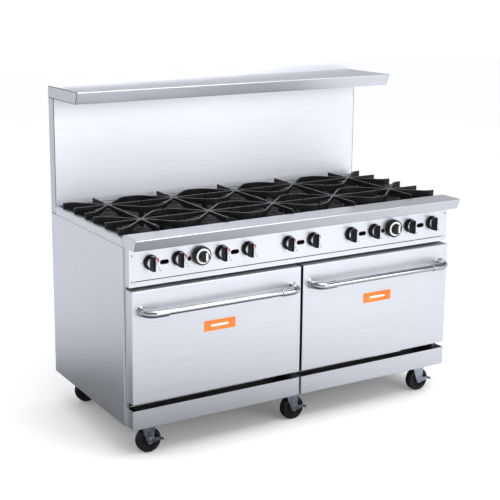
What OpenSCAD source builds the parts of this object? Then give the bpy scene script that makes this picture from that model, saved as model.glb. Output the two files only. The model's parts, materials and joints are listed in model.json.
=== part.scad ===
// Commercial gas range: ten open burners over two ovens, with a riser, an overhead shelf and casters.
// Frame: +X to the cook's right, +Y to the back, +Z up. The origin is on the floor, under the middle
// of the whole object. In the comments and names, "d" is a distance in front of the body's rear face.

/* [Body] */
// Overall width across the side panels
body_w = 1524; // [1515:1:1560]
// Depth from the rear face to the oven front frame
body_d = 690; // [680:1:700]
// Height of the chassis underside, where the casters bolt on
base_z = 130; // [130:1:140]
// Height of the seam between the side panels and the deck rails
deck_z = 831; // [829:1:832]
// Thickness of the stainless sheet
sheet = 1.5; // [1:0.1:2]
// Thickness of the chassis steel
plate = 3; // [2:0.5:4]

/* [Riser and shelf] */
// Depth of the riser box
riser_d = 49; // [40:1:60]
// Height of the shelf's top surface
shelf_z = 1361; // [1250:1:1450]
// Reach of the shelf's front edge
shelf_reach = 303; // [250:1:350]
// Height of the shelf's lip and end caps
shelf_lip = 49; // [30:1:60]
// How far a lip leans back from its top edge to its bottom edge
lip_lean = 20; // [0:1:25]
// Height of the upstand behind the shelf
upstand = 27; // [10:1:40]

/* [Front ledge] */
// Height of the ledge's top surface
ledge_z = 878; // [876:1:882]
// Reach of the ledge's front edge
ledge_reach = 808; // [790:1:812]
// Reach of the ledge's back edge
ledge_back = 695; // [692:1:700]

/* [Burners] */
// Columns of burners, two deep
columns = 5; // [5:1:5]
// Distance between burner columns
column_pitch = 302; // [301:0.5:303]
// Reach of the rear burners' centres
burner_rear = 225; // [215:1:235]
// Reach of the front burners' centres
burner_front = 527; // [525:1:530]
// Height of the grates' top
grate_z = 889; // [887:1:892]
// Depth of a grate's ribs
rib_h = 25; // [18:1:25]
// Thickness of a grate's ribs
rib_t = 8; // [6:0.5:10]

/* [Doors] */
// Height of a door's bottom edge
door_z0 = 230; // [228:1:234]
// Height of a door's top edge
door_z1 = 672; // [668:1:674]
// Width of each door
door_w = 749; // [740:1:750]
// Gap between the two doors
door_gap = 10; // [8:1:12]
// Reach of the doors' outer face
door_face = 748; // [744:1:752]
// Width of an oven's cavity
oven_w = 660; // [640:1:670]
// Height of an oven's floor
oven_z0 = 272; // [270:1:276]
// Height of an oven's ceiling
oven_z1 = 622; // [600:1:624]

/* [Handles] */
// Height of the handles' axis
handle_z = 593; // [560:1:620]
// Distance from the door's face to the handle's axis
handle_reach = 50; // [46:1:50]
// Diameter of the handle's tube
tube_dia = 25; // [20:0.5:27]
// Diameter of the handle's elbows
elbow_dia = 32; // [28:0.5:32]

/* [Controls] */
// Height of the knobs' axes
knob_z = 773; // [768:1:776]
// Distance of a knob from its column's centre
knob_offset = 59; // [56:1:62]
// Diameter of a burner knob's skirt
skirt_dia = 57; // [50:1:58]
// Diameter of a thermostat dial
dial_dia = 73; // [66:1:74]
// Reach of the control panel's face
panel_face = 733; // [730:1:736]
// Height of the seam under the control panel
seam_z = 703.5; // [702:0.5:705]
// Height of the control panel's lowest corners
panel_z0 = 684; // [682:0.5:685]

/* [Casters] */
// Diameter of a wheel
wheel_dia = 100; // [90:1:100]
// Width of a wheel
wheel_w = 32; // [26:1:36]
// Distance of the outer casters from the middle
caster_x = 665; // [600:1:670]
// Reach of the front casters
caster_front = 672; // [640:1:675]
// Reach of the rear casters
caster_rear = 80; // [60:1:100]
// Trail of a wheel behind its swivel
trail = 10; // [6:1:20]

/* [Hidden] */
$fn = 48;
inlet_reach = 30;
elbow_r = elbow_dia / 2;
tube_r = tube_dia / 2;
handle_axis = door_face + handle_reach;
front_reach = handle_axis + elbow_r;
rear_y = (front_reach - inlet_reach) / 2;
half_w = body_w / 2;
lip_z0 = deck_z + 2;
gap = 0.3;
running = 0.05;

frame_t = 2;
frame_z0 = 206;
frame_z1 = panel_z0 - 1;
flange = 20;
inner_x = half_w - flange;
kick_z1 = frame_z0;

rail_h = 40;
base_top = base_z + rail_h;
base_in = half_w - 62;
chassis_front = body_d - frame_t;
post_d = 40;
box_wall_x = 705;
tray_d0 = 60;
tray_split = 152;
tray_end = half_w - 28;
tray_h = 16;
tray_z1 = panel_z0 + 2 + tray_h;

insulation = 30;
oven_wall = 2;
oven_d0 = 126;
oven_x = (door_gap + door_w) / 2;
oven_half = oven_w / 2;
rack_z = 432;
rack_d0 = 140;
rack_d1 = 650;

hinge_d = 726;
hinge_z = 240;
hinge_x = 300;
hinge_r = 4;
door_d0 = body_d + 2;
liner_d0 = 682;

grate_half = column_pitch / 2 - 1.5;
finger_offset = 113;
finger_bend = 70;
hub_r = 20;

pipe_r = 13.35;
pipe_wall = 2.9;
pipe_d = 708;
pipe_z = 738;
pipe_x = 724;
pipe_join = 700;
stem_r = 4;
tube_axis_z = knob_z;
venturi_r = 17;
rail_z = tube_axis_z - venturi_r;
rest_z = grate_z - rib_h;
head_z0 = 815;
head_z1 = 847;
thermo_x = 1.5 * 304.8;
control_pitch = 304.8;

wheel_r = wheel_dia / 2;
axle_r = 5;
leg_t = 3;
leg_y = wheel_w / 2 + 2;
crown_z = 106;
race_z = 112;
race_r = 30;
caster_plate = 4;
king_r = 6;
nut_r = 9;
lever = 50;

STEEL = [0.78, 0.79, 0.82];
DARK = [0.18, 0.18, 0.2];
IRON = [0.08, 0.09, 0.09];
CHROME = [0.9, 0.9, 0.92];
ZINC = [0.55, 0.58, 0.66];

// Burner column centres, for the grates and heads
function column_x(i) = (i - (columns - 1) / 2) * column_pitch;
// Control centres run at a slightly wider pitch than the grates
function control_x(i) = (i - (columns - 1) / 2) * control_pitch;
// Knobs 1 to 10 go in pairs, left and right of their column's control centre
function knob_x(n) = control_x(floor((n - 1) / 2)) + (n % 2 == 1 ? -knob_offset : knob_offset);
// Casters 1 to 3 stand along the front and 4 to 6 along the rear, from left to right
function caster_at(n) = [((n - 1) % 3 - 1) * caster_x, rear_y - (n <= 3 ? caster_front : caster_rear)];

// A box between two x, two distances in front of the rear face, and two heights
module slab(x0, x1, d0, d1, z0, z1) {
    translate([x0, rear_y - d1, z0]) cube([x1 - x0, d1 - d0, z1 - z0]);
}

// The same box and its mirror image on the other side
module slab_pair(x0, x1, d0, d1, z0, z1) {
    slab(x0, x1, d0, d1, z0, z1);
    slab(-x1, -x0, d0, d1, z0, z1);
}

// A profile of [d, z] points carried across the range from x0 to x1
module across(x0, x1, points) {
    translate([x0, rear_y, 0]) rotate([90, 0, 90])
        linear_extrude(x1 - x0) polygon([for (p = points) [-p[0], p[1]]]);
}

// A rod that points forward from d0 to d1
module rod_y(x, z, d0, d1, r) {
    translate([x, rear_y - d0, z]) rotate([90, 0, 0]) cylinder(r = r, h = d1 - d0);
}

// A rod that lies across the range from x0 to x1
module rod_x(d, z, x0, x1, r) {
    translate([x0, rear_y - d, z]) rotate([0, 90, 0]) cylinder(r = r, h = x1 - x0);
}

// A hole with round ends, lying across, cut from d0 to d1
module slot(x, z, w, h, d0, d1) {
    rod_y(x - (w - h) / 2, z, d0, d1, h / 2);
    rod_y(x + (w - h) / 2, z, d0, d1, h / 2);
    slab(x - (w - h) / 2, x + (w - h) / 2, d0, d1, z - h / 2, z + h / 2);
}

// A channel with an open top
module channel(x0, x1, d0, d1, z0, z1, t) {
    difference() {
        slab(x0, x1, d0, d1, z0, z1);
        slab(x0 + t, x1 - t, d0 + t, d1 - t, z0 + t, z1 + 1);
    }
}

// Rails of the chassis, none of which touches another
module chassis_rails() {
    base_rails();
    oven_supports();
    tray_supports();
    burner_rails();
}

// Posts of the chassis, and what stands clear of them: base cross rails, grate rests and tray guides
module chassis_posts() {
    posts();
    base_cross_rails();
    grate_rests();
    tray_guides();
}

// Plates of the chassis: the casters' and the walls of the burner box
module chassis_plates() {
    caster_plates();
    burner_box();
}

// Base channels that run from the front to the back: one at each side and one in the middle
module base_rails() color(DARK)
    for (x = [[-half_w + sheet, -base_in], [-45, 45], [base_in, half_w - sheet]])
        channel(x[0], x[1], sheet, chassis_front, base_z, base_top, plate);

// Base channels that lie across, between the three rails
module base_cross_rails() color(DARK)
    for (x = [-base_in, 45])
        for (d = [sheet, chassis_front - 70])
            channel(x, x + base_in - 45, d, d + 70, base_z, base_top, plate);

// Four corner posts and two shorter ones between the ovens
module posts() color(DARK)
    for (d = [sheet, chassis_front - post_d]) {
        slab_pair(inner_x, half_w - sheet, d, d + post_d, base_top, deck_z - 1);
        slab(-10, 10, d, d + post_d, base_top, frame_z1 - 5);
    }

// Bars that the ovens stand on
module oven_supports() color(DARK)
    for (x = [[10, 60], [oven_x + oven_half - 10, inner_x]])
        slab_pair(x[0], x[1], sheet, chassis_front, oven_z0 - oven_wall - 12, oven_z0 - oven_wall);

// Side walls of the burner box, each tied to its corner posts
module burner_box() color(DARK) {
    back = riser_d + 13;
    for (m = [0, 1]) mirror([m, 0, 0]) union() {
        slab(box_wall_x, box_wall_x + plate, post_d - 10, chassis_front, tray_z1 + 4, deck_z - 2);
        slab(box_wall_x, box_wall_x + plate, back, chassis_front, deck_z - 2, rest_z - 4);
        for (d = [post_d - 10, 652])
            slab(box_wall_x, inner_x, d, d + 6, pipe_z + pipe_r + 9, deck_z - 2);
    }
}

// Rails across the burner box, which carry the burner tubes
module burner_rails() color(DARK)
    for (d = [burner_rear - 12, burner_front - 12, 652])
        slab(-box_wall_x, box_wall_x, d, d + 20, rail_z - 15, rail_z);

// Bars under the joints between grates, with legs down to the burner rails
module grate_rests() color(DARK)
    for (i = [0 : columns - 2]) union() {
        x = column_x(i) + column_pitch / 2;
        slab(x - 8, x + 8, riser_d + 13, ledge_back - 1, rest_z - 14, rest_z);
        for (d = [burner_rear - 12, burner_front - 12])
            slab(x - 8, x + 8, d, d + 20, rail_z, rest_z - 14);
    }

// Two flat bars between the corner posts, under the crumb tray guides
module tray_supports() color(DARK)
    for (d = [20, 650]) slab(-inner_x, inner_x, d, d + 18, frame_z1 - 5, panel_z0 - 1);

// Flat guides that the crumb trays slide on
module tray_guides() color(DARK) {
    slab_pair(tray_end - 10, tray_end + 6, 20, chassis_front - 1, panel_z0 - 1, panel_z0 + 1.7);
    slab(tray_split - 12, tray_split + 12, 20, chassis_front - 1, panel_z0 - 1, panel_z0 + 1.7);
}

// Fixed plates that the casters turn on
module caster_plates() color(DARK)
    for (n = [1 : 6]) {
        at = caster_at(n);
        difference() {
            translate([at[0] - 46, at[1] - 46, base_z - caster_plate]) cube([92, 92, caster_plate]);
            translate([at[0], at[1], base_z - caster_plate - 1]) cylinder(r = king_r + running, h = 6);
        }
    }

// Side panels, each with its front and rear flanges turned in
module side_panels() color(STEEL) for (m = [0, 1]) mirror([m, 0, 0]) union() {
    slab(half_w - sheet, half_w, 0, body_d, base_z, deck_z);
    slab(inner_x, half_w, chassis_front, body_d, base_z, deck_z);
    slab(inner_x, half_w, 0, sheet, base_z, deck_z);
}

// Rear cover with its vent slots and the hole for the gas inlet
module rear_panel() color(STEEL) difference() {
    slab(-inner_x, inner_x, 0, sheet, base_z, deck_z);
    for (x = [-oven_x, oven_x])
        for (k = [0 : 4])
            slot(x, 330 + 40 * k, 300, 12, -1, 3);
    rod_y(pipe_x, pipe_z, -1, 3, pipe_r + 2);
}

// Hollow backguard that carries the oven flues up to the vents under the shelf
module riser() color(STEEL) {
    top = shelf_z - sheet;
    difference() {
        union() {
            slab(-half_w, half_w, 0, riser_d, deck_z, top);
            slab(-half_w + 30, half_w - 30, riser_d, riser_d + 12, deck_z, rest_z - 2);
        }
        slab(-half_w + sheet, half_w - sheet, sheet, riser_d - sheet, deck_z - 1, top + 1);
        slab(-half_w + 32, half_w - 32, riser_d - 1, riser_d + 10, deck_z - 1, rest_z - 4);
        for (i = [0 : columns - 1])
            slot(column_x(i), shelf_z - 60, 220, 16, -1, sheet + 1);
    }
}

// Shelf with a leaning lip, end caps and an upstand
module overhead_shelf() color(STEEL) {
    under = shelf_z - sheet;
    low = shelf_z - shelf_lip;
    outline = [[riser_d, low], [riser_d, under], [0, under], [0, shelf_z], [shelf_reach, shelf_z],
               [shelf_reach - lip_lean, low]];
    inside = [[riser_d - 1, low - 1], [riser_d - 1, under], [shelf_reach - 2, under],
              [shelf_reach - lip_lean - 1.6, low + sheet], [shelf_reach - lip_lean - 20, low + sheet],
              [shelf_reach - lip_lean - 20, low - 1]];
    union() {
        difference() {
            across(-half_w, half_w, outline);
            across(-half_w + sheet, half_w - sheet, inside);
        }
        slab(-half_w, half_w, 0, sheet, under, shelf_z + upstand);
    }
}

// Folded nose over the controls, closed at both ends
module front_ledge() color(STEEL) difference() {
    across(-half_w, half_w, [[ledge_back, lip_z0], [ledge_back, ledge_z], [ledge_reach, ledge_z],
                             [ledge_reach - lip_lean, lip_z0]]);
    across(-half_w + sheet, half_w - sheet,
           [[ledge_back + sheet, lip_z0 - 1], [ledge_back + sheet, ledge_z - sheet],
            [ledge_reach - 2.2, ledge_z - sheet], [ledge_reach - lip_lean - 1.6, lip_z0 + sheet],
            [panel_face + 2, lip_z0 + sheet], [panel_face + 2, lip_z0 - 1]]);
}

// Angle rails along both sides of the deck, which the outer grates rest on
module side_rails() color(STEEL) {
    for (m = [0, 1]) mirror([m, 0, 0]) union() {
        slab(half_w - sheet, half_w, riser_d, ledge_back, deck_z, rest_z);
        slab(half_w - 28, half_w, riser_d, ledge_back, rest_z - sheet, rest_z);
    }
}

// Front cover over the valves, with holes for the stems and slots for a lighter
module control_panel() color(STEEL) {
    end_x = half_w - 6.6;
    difference() {
        union() {
            slab(-end_x, end_x, panel_face - sheet, panel_face, panel_z0, lip_z0);
            slab_pair(end_x - sheet, end_x, body_d, panel_face, panel_z0, lip_z0);
            slab(-end_x, end_x, body_d, panel_face, seam_z, seam_z + sheet);
        }
        slab(-tray_end - 1, tray_end + 1, body_d - 1, panel_face + 1, panel_z0 - 1, seam_z);
        for (n = [1 : 10])
            rod_y(knob_x(n), knob_z, panel_face - 3, panel_face + 1, stem_r + 2);
        for (i = [0 : columns - 1])
            slot(control_x(i), knob_z - 7, 38, 18, panel_face - 3, panel_face + 1);
        for (x = [-thermo_x, thermo_x]) {
            rod_y(x, knob_z, panel_face - 3, panel_face + 1, stem_r + 2);
            rod_y(x - 47, knob_z - 8, panel_face - 3, panel_face + 1, 9);
        }
    }
}

// One kick plate under each door: a channel with an open top
module kick_plates() color(STEEL)
    for (m = [0, 1]) mirror([m, 0, 0]) difference() {
        slab(door_gap / 2, door_gap / 2 + door_w, body_d, door_face, base_z, kick_z1);
        slab(door_gap / 2 + sheet, door_gap / 2 + door_w - sheet, body_d - 1, door_face - sheet,
             base_z + sheet, kick_z1 + 1);
    }

// Both oven liners
module oven_boxes() {
    oven_box(-oven_x);
    oven_box(oven_x);
}

// Enamelled oven liner with three pairs of rack guides, around x
module oven_box(x) color([0.25, 0.26, 0.3]) union() {
    difference() {
        slab(x - oven_half - oven_wall, x + oven_half + oven_wall, oven_d0 - oven_wall, chassis_front,
             oven_z0 - oven_wall, oven_z1 + oven_wall);
        slab(x - oven_half, x + oven_half, oven_d0, chassis_front + 1, oven_z0, oven_z1);
    }
    for (z = [rack_z - 84, rack_z - 4.5, rack_z + 76])
        for (s = [-1, 1])
            slab(x + s * (oven_half - 8) - 8, x + s * (oven_half - 8) + 8, rack_d0, rack_d1, z - 4, z);
}

// Mineral wool over the top, the sides and the back of each oven
module oven_insulation() color([0.85, 0.8, 0.6])
    for (m = [0, 1]) mirror([m, 0, 0]) difference() {
        slab(oven_x - oven_half - insulation - oven_wall, oven_x + oven_half + insulation + oven_wall,
             oven_d0 - insulation - oven_wall, chassis_front - post_d - 1, oven_z0, oven_z1 + 28);
        slab(oven_x - oven_half - oven_wall, oven_x + oven_half + oven_wall, oven_d0 - oven_wall,
             body_d, oven_z0 - 1, oven_z1 + oven_wall);
    }

// Sheet around both oven mouths, with the hinge brackets and their pins
module oven_front_frame() color(DARK) union() {
    difference() {
        slab(-inner_x, inner_x, body_d - frame_t, body_d, frame_z0, frame_z1);
        for (x = [-oven_x, oven_x])
            slab(x - oven_half, x + oven_half, body_d - 3, body_d + 1, oven_z0, oven_z1);
    }
    for (x = [-oven_x - hinge_x, -oven_x + hinge_x, oven_x - hinge_x, oven_x + hinge_x]) {
        slab(x - 3, x + 3, body_d, hinge_d, hinge_z - 6, hinge_z + 6);
        rod_x(hinge_d, hinge_z, x - 3, x + 3, 6);
        rod_x(hinge_d, hinge_z, x - 13, x + 13, hinge_r);
    }
}

// Supply pipe from the rear inlet, past its locknut, to the elbow beside the manifold
module supply_pipe() color([0.45, 0.46, 0.48])
    difference() {
        union() {
            rod_y(pipe_x, pipe_z, -inlet_reach, pipe_d, pipe_r);
            rod_y(pipe_x, pipe_z, -5, -1, 19, $fn = 6);
            rod_x(pipe_d, pipe_z, pipe_join, pipe_x, pipe_r);
            translate([pipe_x, rear_y - pipe_d, pipe_z]) sphere(r = pipe_r);
        }
        rod_y(pipe_x, pipe_z, -inlet_reach - 1, pipe_d, pipe_r - pipe_wall);
        rod_x(pipe_d, pipe_z, pipe_join - 1, pipe_x, pipe_r - pipe_wall);
    }

// Manifold behind the controls, and a pilot tube to each burner column
module gas_pipework() color([0.45, 0.46, 0.48]) {
    difference() {
        rod_x(pipe_d, pipe_z, -box_wall_x, pipe_join, pipe_r);
        rod_x(pipe_d, pipe_z, -box_wall_x + 10, pipe_join + 1, pipe_r - pipe_wall);
        for (n = [1 : 10]) valve_stub(knob_x(n));
        for (x = [-thermo_x, thermo_x]) valve_stub(x);
    }
    for (i = [0 : columns - 1]) union() {
        x = column_x(i) + 54;
        rod_y(x, head_z0 + 10, burner_rear - 10, burner_front + 10, 3);
        for (d = [burner_rear, burner_front])
            translate([x, rear_y - d, head_z0 + 10]) cylinder(r = 5, h = head_z1 - head_z0 - 12);
        translate([x, rear_y - burner_rear, tube_axis_z - venturi_r])
            cylinder(r = 3, h = head_z0 + 10 - tube_axis_z + venturi_r);
    }
}

// Threaded stub that joins a valve to the manifold
module valve_stub(x) {
    translate([x, rear_y - pipe_d, pipe_z + pipe_r - pipe_wall]) cylinder(r = 6, h = pipe_wall + 2);
}

// Ten burner valves and two oven thermostats with their sensing bulbs
module gas_valves() color([0.75, 0.6, 0.3]) {
    body_z0 = pipe_z + pipe_r + 1;
    for (n = [1 : 10]) union() {
        x = knob_x(n);
        valve_stub(x);
        slab(x - 12, x + 12, pipe_d - 12, pipe_d + 14, body_z0, knob_z + 12);
        rod_y(x, knob_z, pipe_d - 26, pipe_d - 12, 6);
        rod_y(x, knob_z, pipe_d + 14, panel_face + 26, stem_r);
    }
    for (x = [-thermo_x, thermo_x]) union() {
        valve_stub(x);
        slab(x - 30, x + 30, pipe_d - 14, pipe_d + 18, body_z0, knob_z + 26);
        rod_y(x, knob_z, pipe_d + 18, panel_face + 26, stem_r);
    }
    for (x = [-oven_x, oven_x])
        rod_x(oven_d0 + 8, oven_z1 - 22, x - 75, x + 75, 4);
}

// Round cast heads, with a domed cap and a ring of ports round the rim
module burner_heads() color([0.16, 0.16, 0.17])
    for (i = [0 : columns - 1])
        for (d = [burner_rear, burner_front])
            translate([column_x(i), rear_y - d, 0]) burner_head();

module burner_head() {
    ports = 24;
    difference() {
        rotate_extrude($fn = 64) polygon([
            [14, head_z0], [24, head_z0], [40, head_z0 + 10], [40, head_z1 - 10], [44, head_z1 - 8],
            [44, head_z1 - 4], [34, head_z1], [16, head_z1 - 3], [10, head_z1 - 6], [0, head_z1 - 6],
            [0, head_z0 + 18], [14, head_z0 + 12]]);
        for (k = [0 : ports - 1])
            rotate([0, 0, 360 / ports * k]) translate([34, -1, head_z1 - 14]) cube([12, 2, 3.5]);
    }
}

// Iron tubes of all the burners
module burner_tubes() {
    venturi_tubes();
    oven_burners();
}

// Venturi tubes: each runs back from its valve, crosses to its column and rises to the head
module venturi_tubes() color([0.3, 0.3, 0.32])
    for (n = [1 : 10]) {
        x = knob_x(n);
        centre = column_x(floor((n - 1) / 2));
        end_d = n % 2 == 1 ? burner_rear : burner_front;
        difference() {
            union() {
                rod_y(x, tube_axis_z, end_d, 680, venturi_r);
                rod_x(end_d, tube_axis_z, min(x, centre), max(x, centre), venturi_r);
                translate([x, rear_y - end_d, tube_axis_z]) sphere(r = venturi_r);
                translate([centre, rear_y - end_d, tube_axis_z]) sphere(r = venturi_r);
                translate([centre, rear_y - end_d, tube_axis_z])
                    cylinder(r = venturi_r, h = head_z0 - tube_axis_z);
            }
            rod_y(x, tube_axis_z, 630, 681, venturi_r - 3);
        }
    }

// Twin-bar burner under each oven floor
module oven_burners() color([0.4, 0.4, 0.42])
    for (x = [-oven_x, oven_x]) union() {
        for (s = [-80, 80]) rod_y(x + s, 215, 200, 560, 14);
        rod_x(560, 215, x - 80, x + 80, 14);
        for (s = [-80, 80]) translate([x + s, rear_y - 560, 215]) sphere(r = 14);
        for (d = [220, 520]) slab(x - 100, x + 100, d, d + 16, base_top, 202);
    }

// Screw heads: control panel corners, riser sides, shelf caps and caster plates
module fasteners() color([0.6, 0.6, 0.62]) {
    for (s = [-1, 1]) {
        for (z = [panel_z0 + 22, lip_z0 - 28])
            rod_y(s * (half_w - 18), z, panel_face, panel_face + 2, 4);
        for (z = [deck_z + 60, deck_z + 240, deck_z + 420])
            rod_y(s * (half_w - 12), z, riser_d, riser_d + 2, 4);
    }
    for (n = [1 : 6])
        for (sx = [-36, 36])
            for (sy = [-36, 36])
                translate([caster_at(n)[0] + sx, caster_at(n)[1] + sy, base_z - caster_plate - 5])
                    cylinder(r = 6.5, h = 5, $fn = 6);
}

// Ten square castings, each a hub with four straight bars and four bent fingers
module grates() color(IRON)
    for (i = [0 : columns - 1])
        for (d = [burner_rear, burner_front])
            translate([column_x(i), rear_y - d, grate_z - rib_h]) grate();

module grate() {
    union() {
        difference() {
            cylinder(r = hub_r, h = rib_h);
            translate([0, 0, -1]) cylinder(r = hub_r - 8, h = rib_h - 7);
        }
        for (a = [0, 90, 180, 270]) rotate([0, 0, a])
            translate([hub_r - 4, -rib_t / 2, 0]) cube([grate_half - hub_r + 4, rib_t, rib_h]);
        for (mx = [0, 1]) mirror([mx, 0, 0])
            for (my = [0, 1]) mirror([0, my, 0]) grate_finger();
    }
}

// A finger leaves the hub at 45 degrees, bends, and runs out to the side edge
module grate_finger() {
    start = finger_offset - finger_bend * (1 - cos(45));
    bend_x = start + finger_bend * sin(45);
    rotate([0, 0, 45]) translate([hub_r - 4, -rib_t / 2, 0])
        cube([start * sqrt(2) - hub_r + 5, rib_t, rib_h]);
    translate([bend_x, finger_offset - finger_bend, 0]) rotate([0, 0, 90])
        rotate_extrude(angle = 45) translate([finger_bend - rib_t / 2, 0]) square([rib_t, rib_h]);
    translate([bend_x - 1, finger_offset - rib_t / 2, 0]) cube([grate_half - bend_x + 1, rib_t, rib_h]);
}

// Folded stainless tray that faces a door, around x, with the screws along its top
module door_skin(x) color(STEEL) {
    difference() {
        slab(x - door_w / 2, x + door_w / 2, door_d0, door_face, door_z0, door_z1);
        slab(x - door_w / 2 + sheet, x + door_w / 2 - sheet, door_d0 - 1, door_face - sheet,
             door_z0 + sheet, door_z1 - sheet);
        for (s = [-hinge_x, hinge_x])
            slab(x + s - 16, x + s + 16, door_d0 - 1, door_face - 8, door_z0 - 1, door_z0 + 4);
    }
    for (s = [-330, 0, 330])
        translate([x + s, rear_y - door_face + 32, door_z1]) cylinder(r = 4, h = 2);
}

// Inner panel with a pressed pan that enters the oven mouth, and a pair of hinge lugs
module door_liner(x) color([0.4, 0.41, 0.44]) union() {
    difference() {
        union() {
            slab(x - door_w / 2 + sheet, x + door_w / 2 - sheet, door_d0, door_d0 + 2,
                 door_z0 + sheet, door_z1 - sheet);
            slab(x - oven_half + 12, x + oven_half - 12, liner_d0, door_d0 + 2, oven_z0 + 12, oven_z1 - 12);
        }
        slab(x - oven_half + 14, x + oven_half - 14, liner_d0 + 2, door_d0 + 3, oven_z0 + 14, oven_z1 - 14);
        for (s = [-hinge_x, hinge_x])
            slab(x + s - 5, x + s + 5, door_d0 - 1, door_d0 + 3, door_z0, hinge_z + 12);
    }
    for (s = [-hinge_x, hinge_x])
        for (side = [-1, 1]) difference() {
            slab(x + s + side * 9 - 4, x + s + side * 9 + 4, door_d0 + 2, hinge_d + 8,
                 hinge_z - 8, hinge_z + 12);
            rod_x(hinge_d, hinge_z, x + s + side * 9 - 5, x + s + side * 9 + 5, hinge_r + running);
        }
}

// Tubular towel-rail handle: two elbows with sleeves and a thinner tube between them
module door_handle(x) color(CHROME) {
    foot = door_w / 2 - 38;
    bend = 40;
    sleeve_end = foot - bend - 47;
    union() {
        for (m = [0, 1]) translate([x, 0, 0]) mirror([m, 0, 0]) {
            rod_y(foot, handle_z, door_face, handle_axis - bend, elbow_r);
            translate([foot - bend, rear_y - handle_axis + bend, handle_z])
                rotate([0, 0, -90]) rotate_extrude(angle = 90) translate([bend, 0]) circle(r = elbow_r);
            rod_x(handle_axis, handle_z, sleeve_end, foot - bend, elbow_r);
        }
        rod_x(handle_axis, handle_z, x - sleeve_end, x + sleeve_end, tube_r);
    }
}

// Small plain plate on a door's face
module door_plate(x) color([0.96, 0.5, 0.14])
    slab(x - 70, x + 70, door_face, door_face + 1.5, 471, 513);

// Shallow tray that slides out from under the burners
module crumb_tray(x0, x1) color(STEEL) {
    z0 = panel_z0 + 2;
    union() {
        channel(x0, x1, tray_d0 + 2, panel_face - 20, z0, z0 + tray_h, 1.2);
        slab(x0, x1, panel_face - 20, panel_face - sheet, z0, z0 + 1.2);
        slab(x0, x1, panel_face - sheet, panel_face, panel_z0 + 0.5, seam_z - 0.5);
    }
}

// Chromed wire shelf: a rim, two stiffeners and a row of thin wires
module oven_rack(x) color(CHROME) {
    half = oven_half - 4;
    wires = 21;
    rim = 3.5;
    pitch = (2 * half - 2 * rim) / (wires + 1);
    union() {
        for (s = [-1, 1]) rod_y(x + s * (half - rim), rack_z, rack_d0 + rim, rack_d1 - rim, rim);
        for (d = [rack_d0 + rim, rack_d1 - rim]) rod_x(d, rack_z, x - half + rim, x + half - rim, rim);
        for (s = [-1, 1])
            for (d = [rack_d0 + rim, rack_d1 - rim])
                translate([x + s * (half - rim), rear_y - d, rack_z]) sphere(r = rim);
        for (d = [300, 490]) rod_x(d, rack_z, x - half + rim, x + half - rim, 2.5);
        for (k = [1 : wires])
            rod_y(x - half + rim + pitch * k, rack_z + 1, rack_d0 + rim, rack_d1 - rim, 2);
    }
}

// Burner knob: skirt, waist and a grip blade that reaches past the skirt at one end
module burner_knob(n) color([0.1, 0.1, 0.1]) {
    x = knob_x(n);
    base = panel_face + 1.5;
    difference() {
        union() {
            rod_y(x, knob_z, base, base + 9, skirt_dia / 2);
            rod_y(x, knob_z, base + 9, base + 14, skirt_dia / 2 - 3);
            slab(x - 6, x + 6, base + 9, base + 36, knob_z - 29, knob_z + 27);
            rod_y(x, knob_z, base + 14, base + 24, 18);
        }
        rod_y(x, knob_z, base - 1, panel_face + 27, stem_r + running);
    }
}

// Thermostat dial: deep black drum with a smaller knob standing on its face
module thermostat_dial(x) color([0.1, 0.1, 0.1]) {
    base = panel_face + 1.5;
    difference() {
        union() {
            rod_y(x, knob_z, base, base + 24, dial_dia / 2);
            rod_y(x, knob_z, base + 24, base + 39, 21);
        }
        rod_y(x, knob_z, base - 1, panel_face + 27, stem_r + running);
    }
}

// Swivelling fork with its race, two legs and the axle
module caster_fork(n) color(ZINC) {
    reach = leg_y + leg_t;
    translate([caster_at(n)[0], caster_at(n)[1], 0]) union() {
        translate([0, 0, race_z]) cylinder(r = race_r, h = base_z - caster_plate - gap - race_z);
        translate([0, 0, race_z]) cylinder(r = king_r, h = base_z - 1 - race_z);
        translate([-26, -reach, crown_z]) cube([58, 2 * reach, race_z - crown_z]);
        for (side = [-1, 1]) {
            translate([0, side * (leg_y + leg_t / 2) + leg_t / 2, 0]) rotate([90, 0, 0])
                linear_extrude(leg_t) polygon([[-26, race_z], [32, race_z], [26, wheel_r - 4],
                                               [18, wheel_r - 12], [2, wheel_r - 12], [-6, wheel_r]]);
            translate([trail, side * (reach + 2) + 2, wheel_r]) rotate([90, 0, 0])
                cylinder(r = nut_r, h = 4);
        }
        translate([trail, reach + 1, wheel_r]) rotate([90, 0, 0]) cylinder(r = axle_r, h = 2 * reach + 2);
    }
}

// Rubber-tyred wheel with a stepped hub
module caster_wheel(n) color([0.07, 0.07, 0.07])
    translate([caster_at(n)[0] + trail, caster_at(n)[1], wheel_r]) rotate([90, 0, 0])
        rotate_extrude($fn = 72) polygon([
            [axle_r + running, -leg_y + gap], [14, -leg_y + gap], [14, -wheel_w / 2 + 4],
            [wheel_r - 14, -wheel_w / 2 + 4], [wheel_r - 12, -wheel_w / 2], [wheel_r - 3, -wheel_w / 2],
            [wheel_r, -wheel_w / 2 + 4], [wheel_r, wheel_w / 2 - 4], [wheel_r - 3, wheel_w / 2],
            [wheel_r - 12, wheel_w / 2], [wheel_r - 14, wheel_w / 2 - 4], [14, wheel_w / 2 - 4],
            [14, leg_y - gap], [axle_r + running, leg_y - gap]]);

// Lock lever that turns on the front axle nut, with a foot tab bent outwards at its end
module brake_pedal(n) color(ZINC)
    translate([caster_at(n)[0] + trail, caster_at(n)[1] - leg_y - leg_t - gap, wheel_r]) rotate([90, 0, 0])
        difference() {
            union() {
                cylinder(r = 14, h = 3);
                linear_extrude(3) polygon([[0, -14], [lever, -2], [lever, 8], [0, 14]]);
                translate([lever - 3, -2, 0]) cube([3, 10, 16]);
            }
            translate([0, 0, -1]) cylinder(r = nut_r + running, h = 5);
        }

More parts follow.
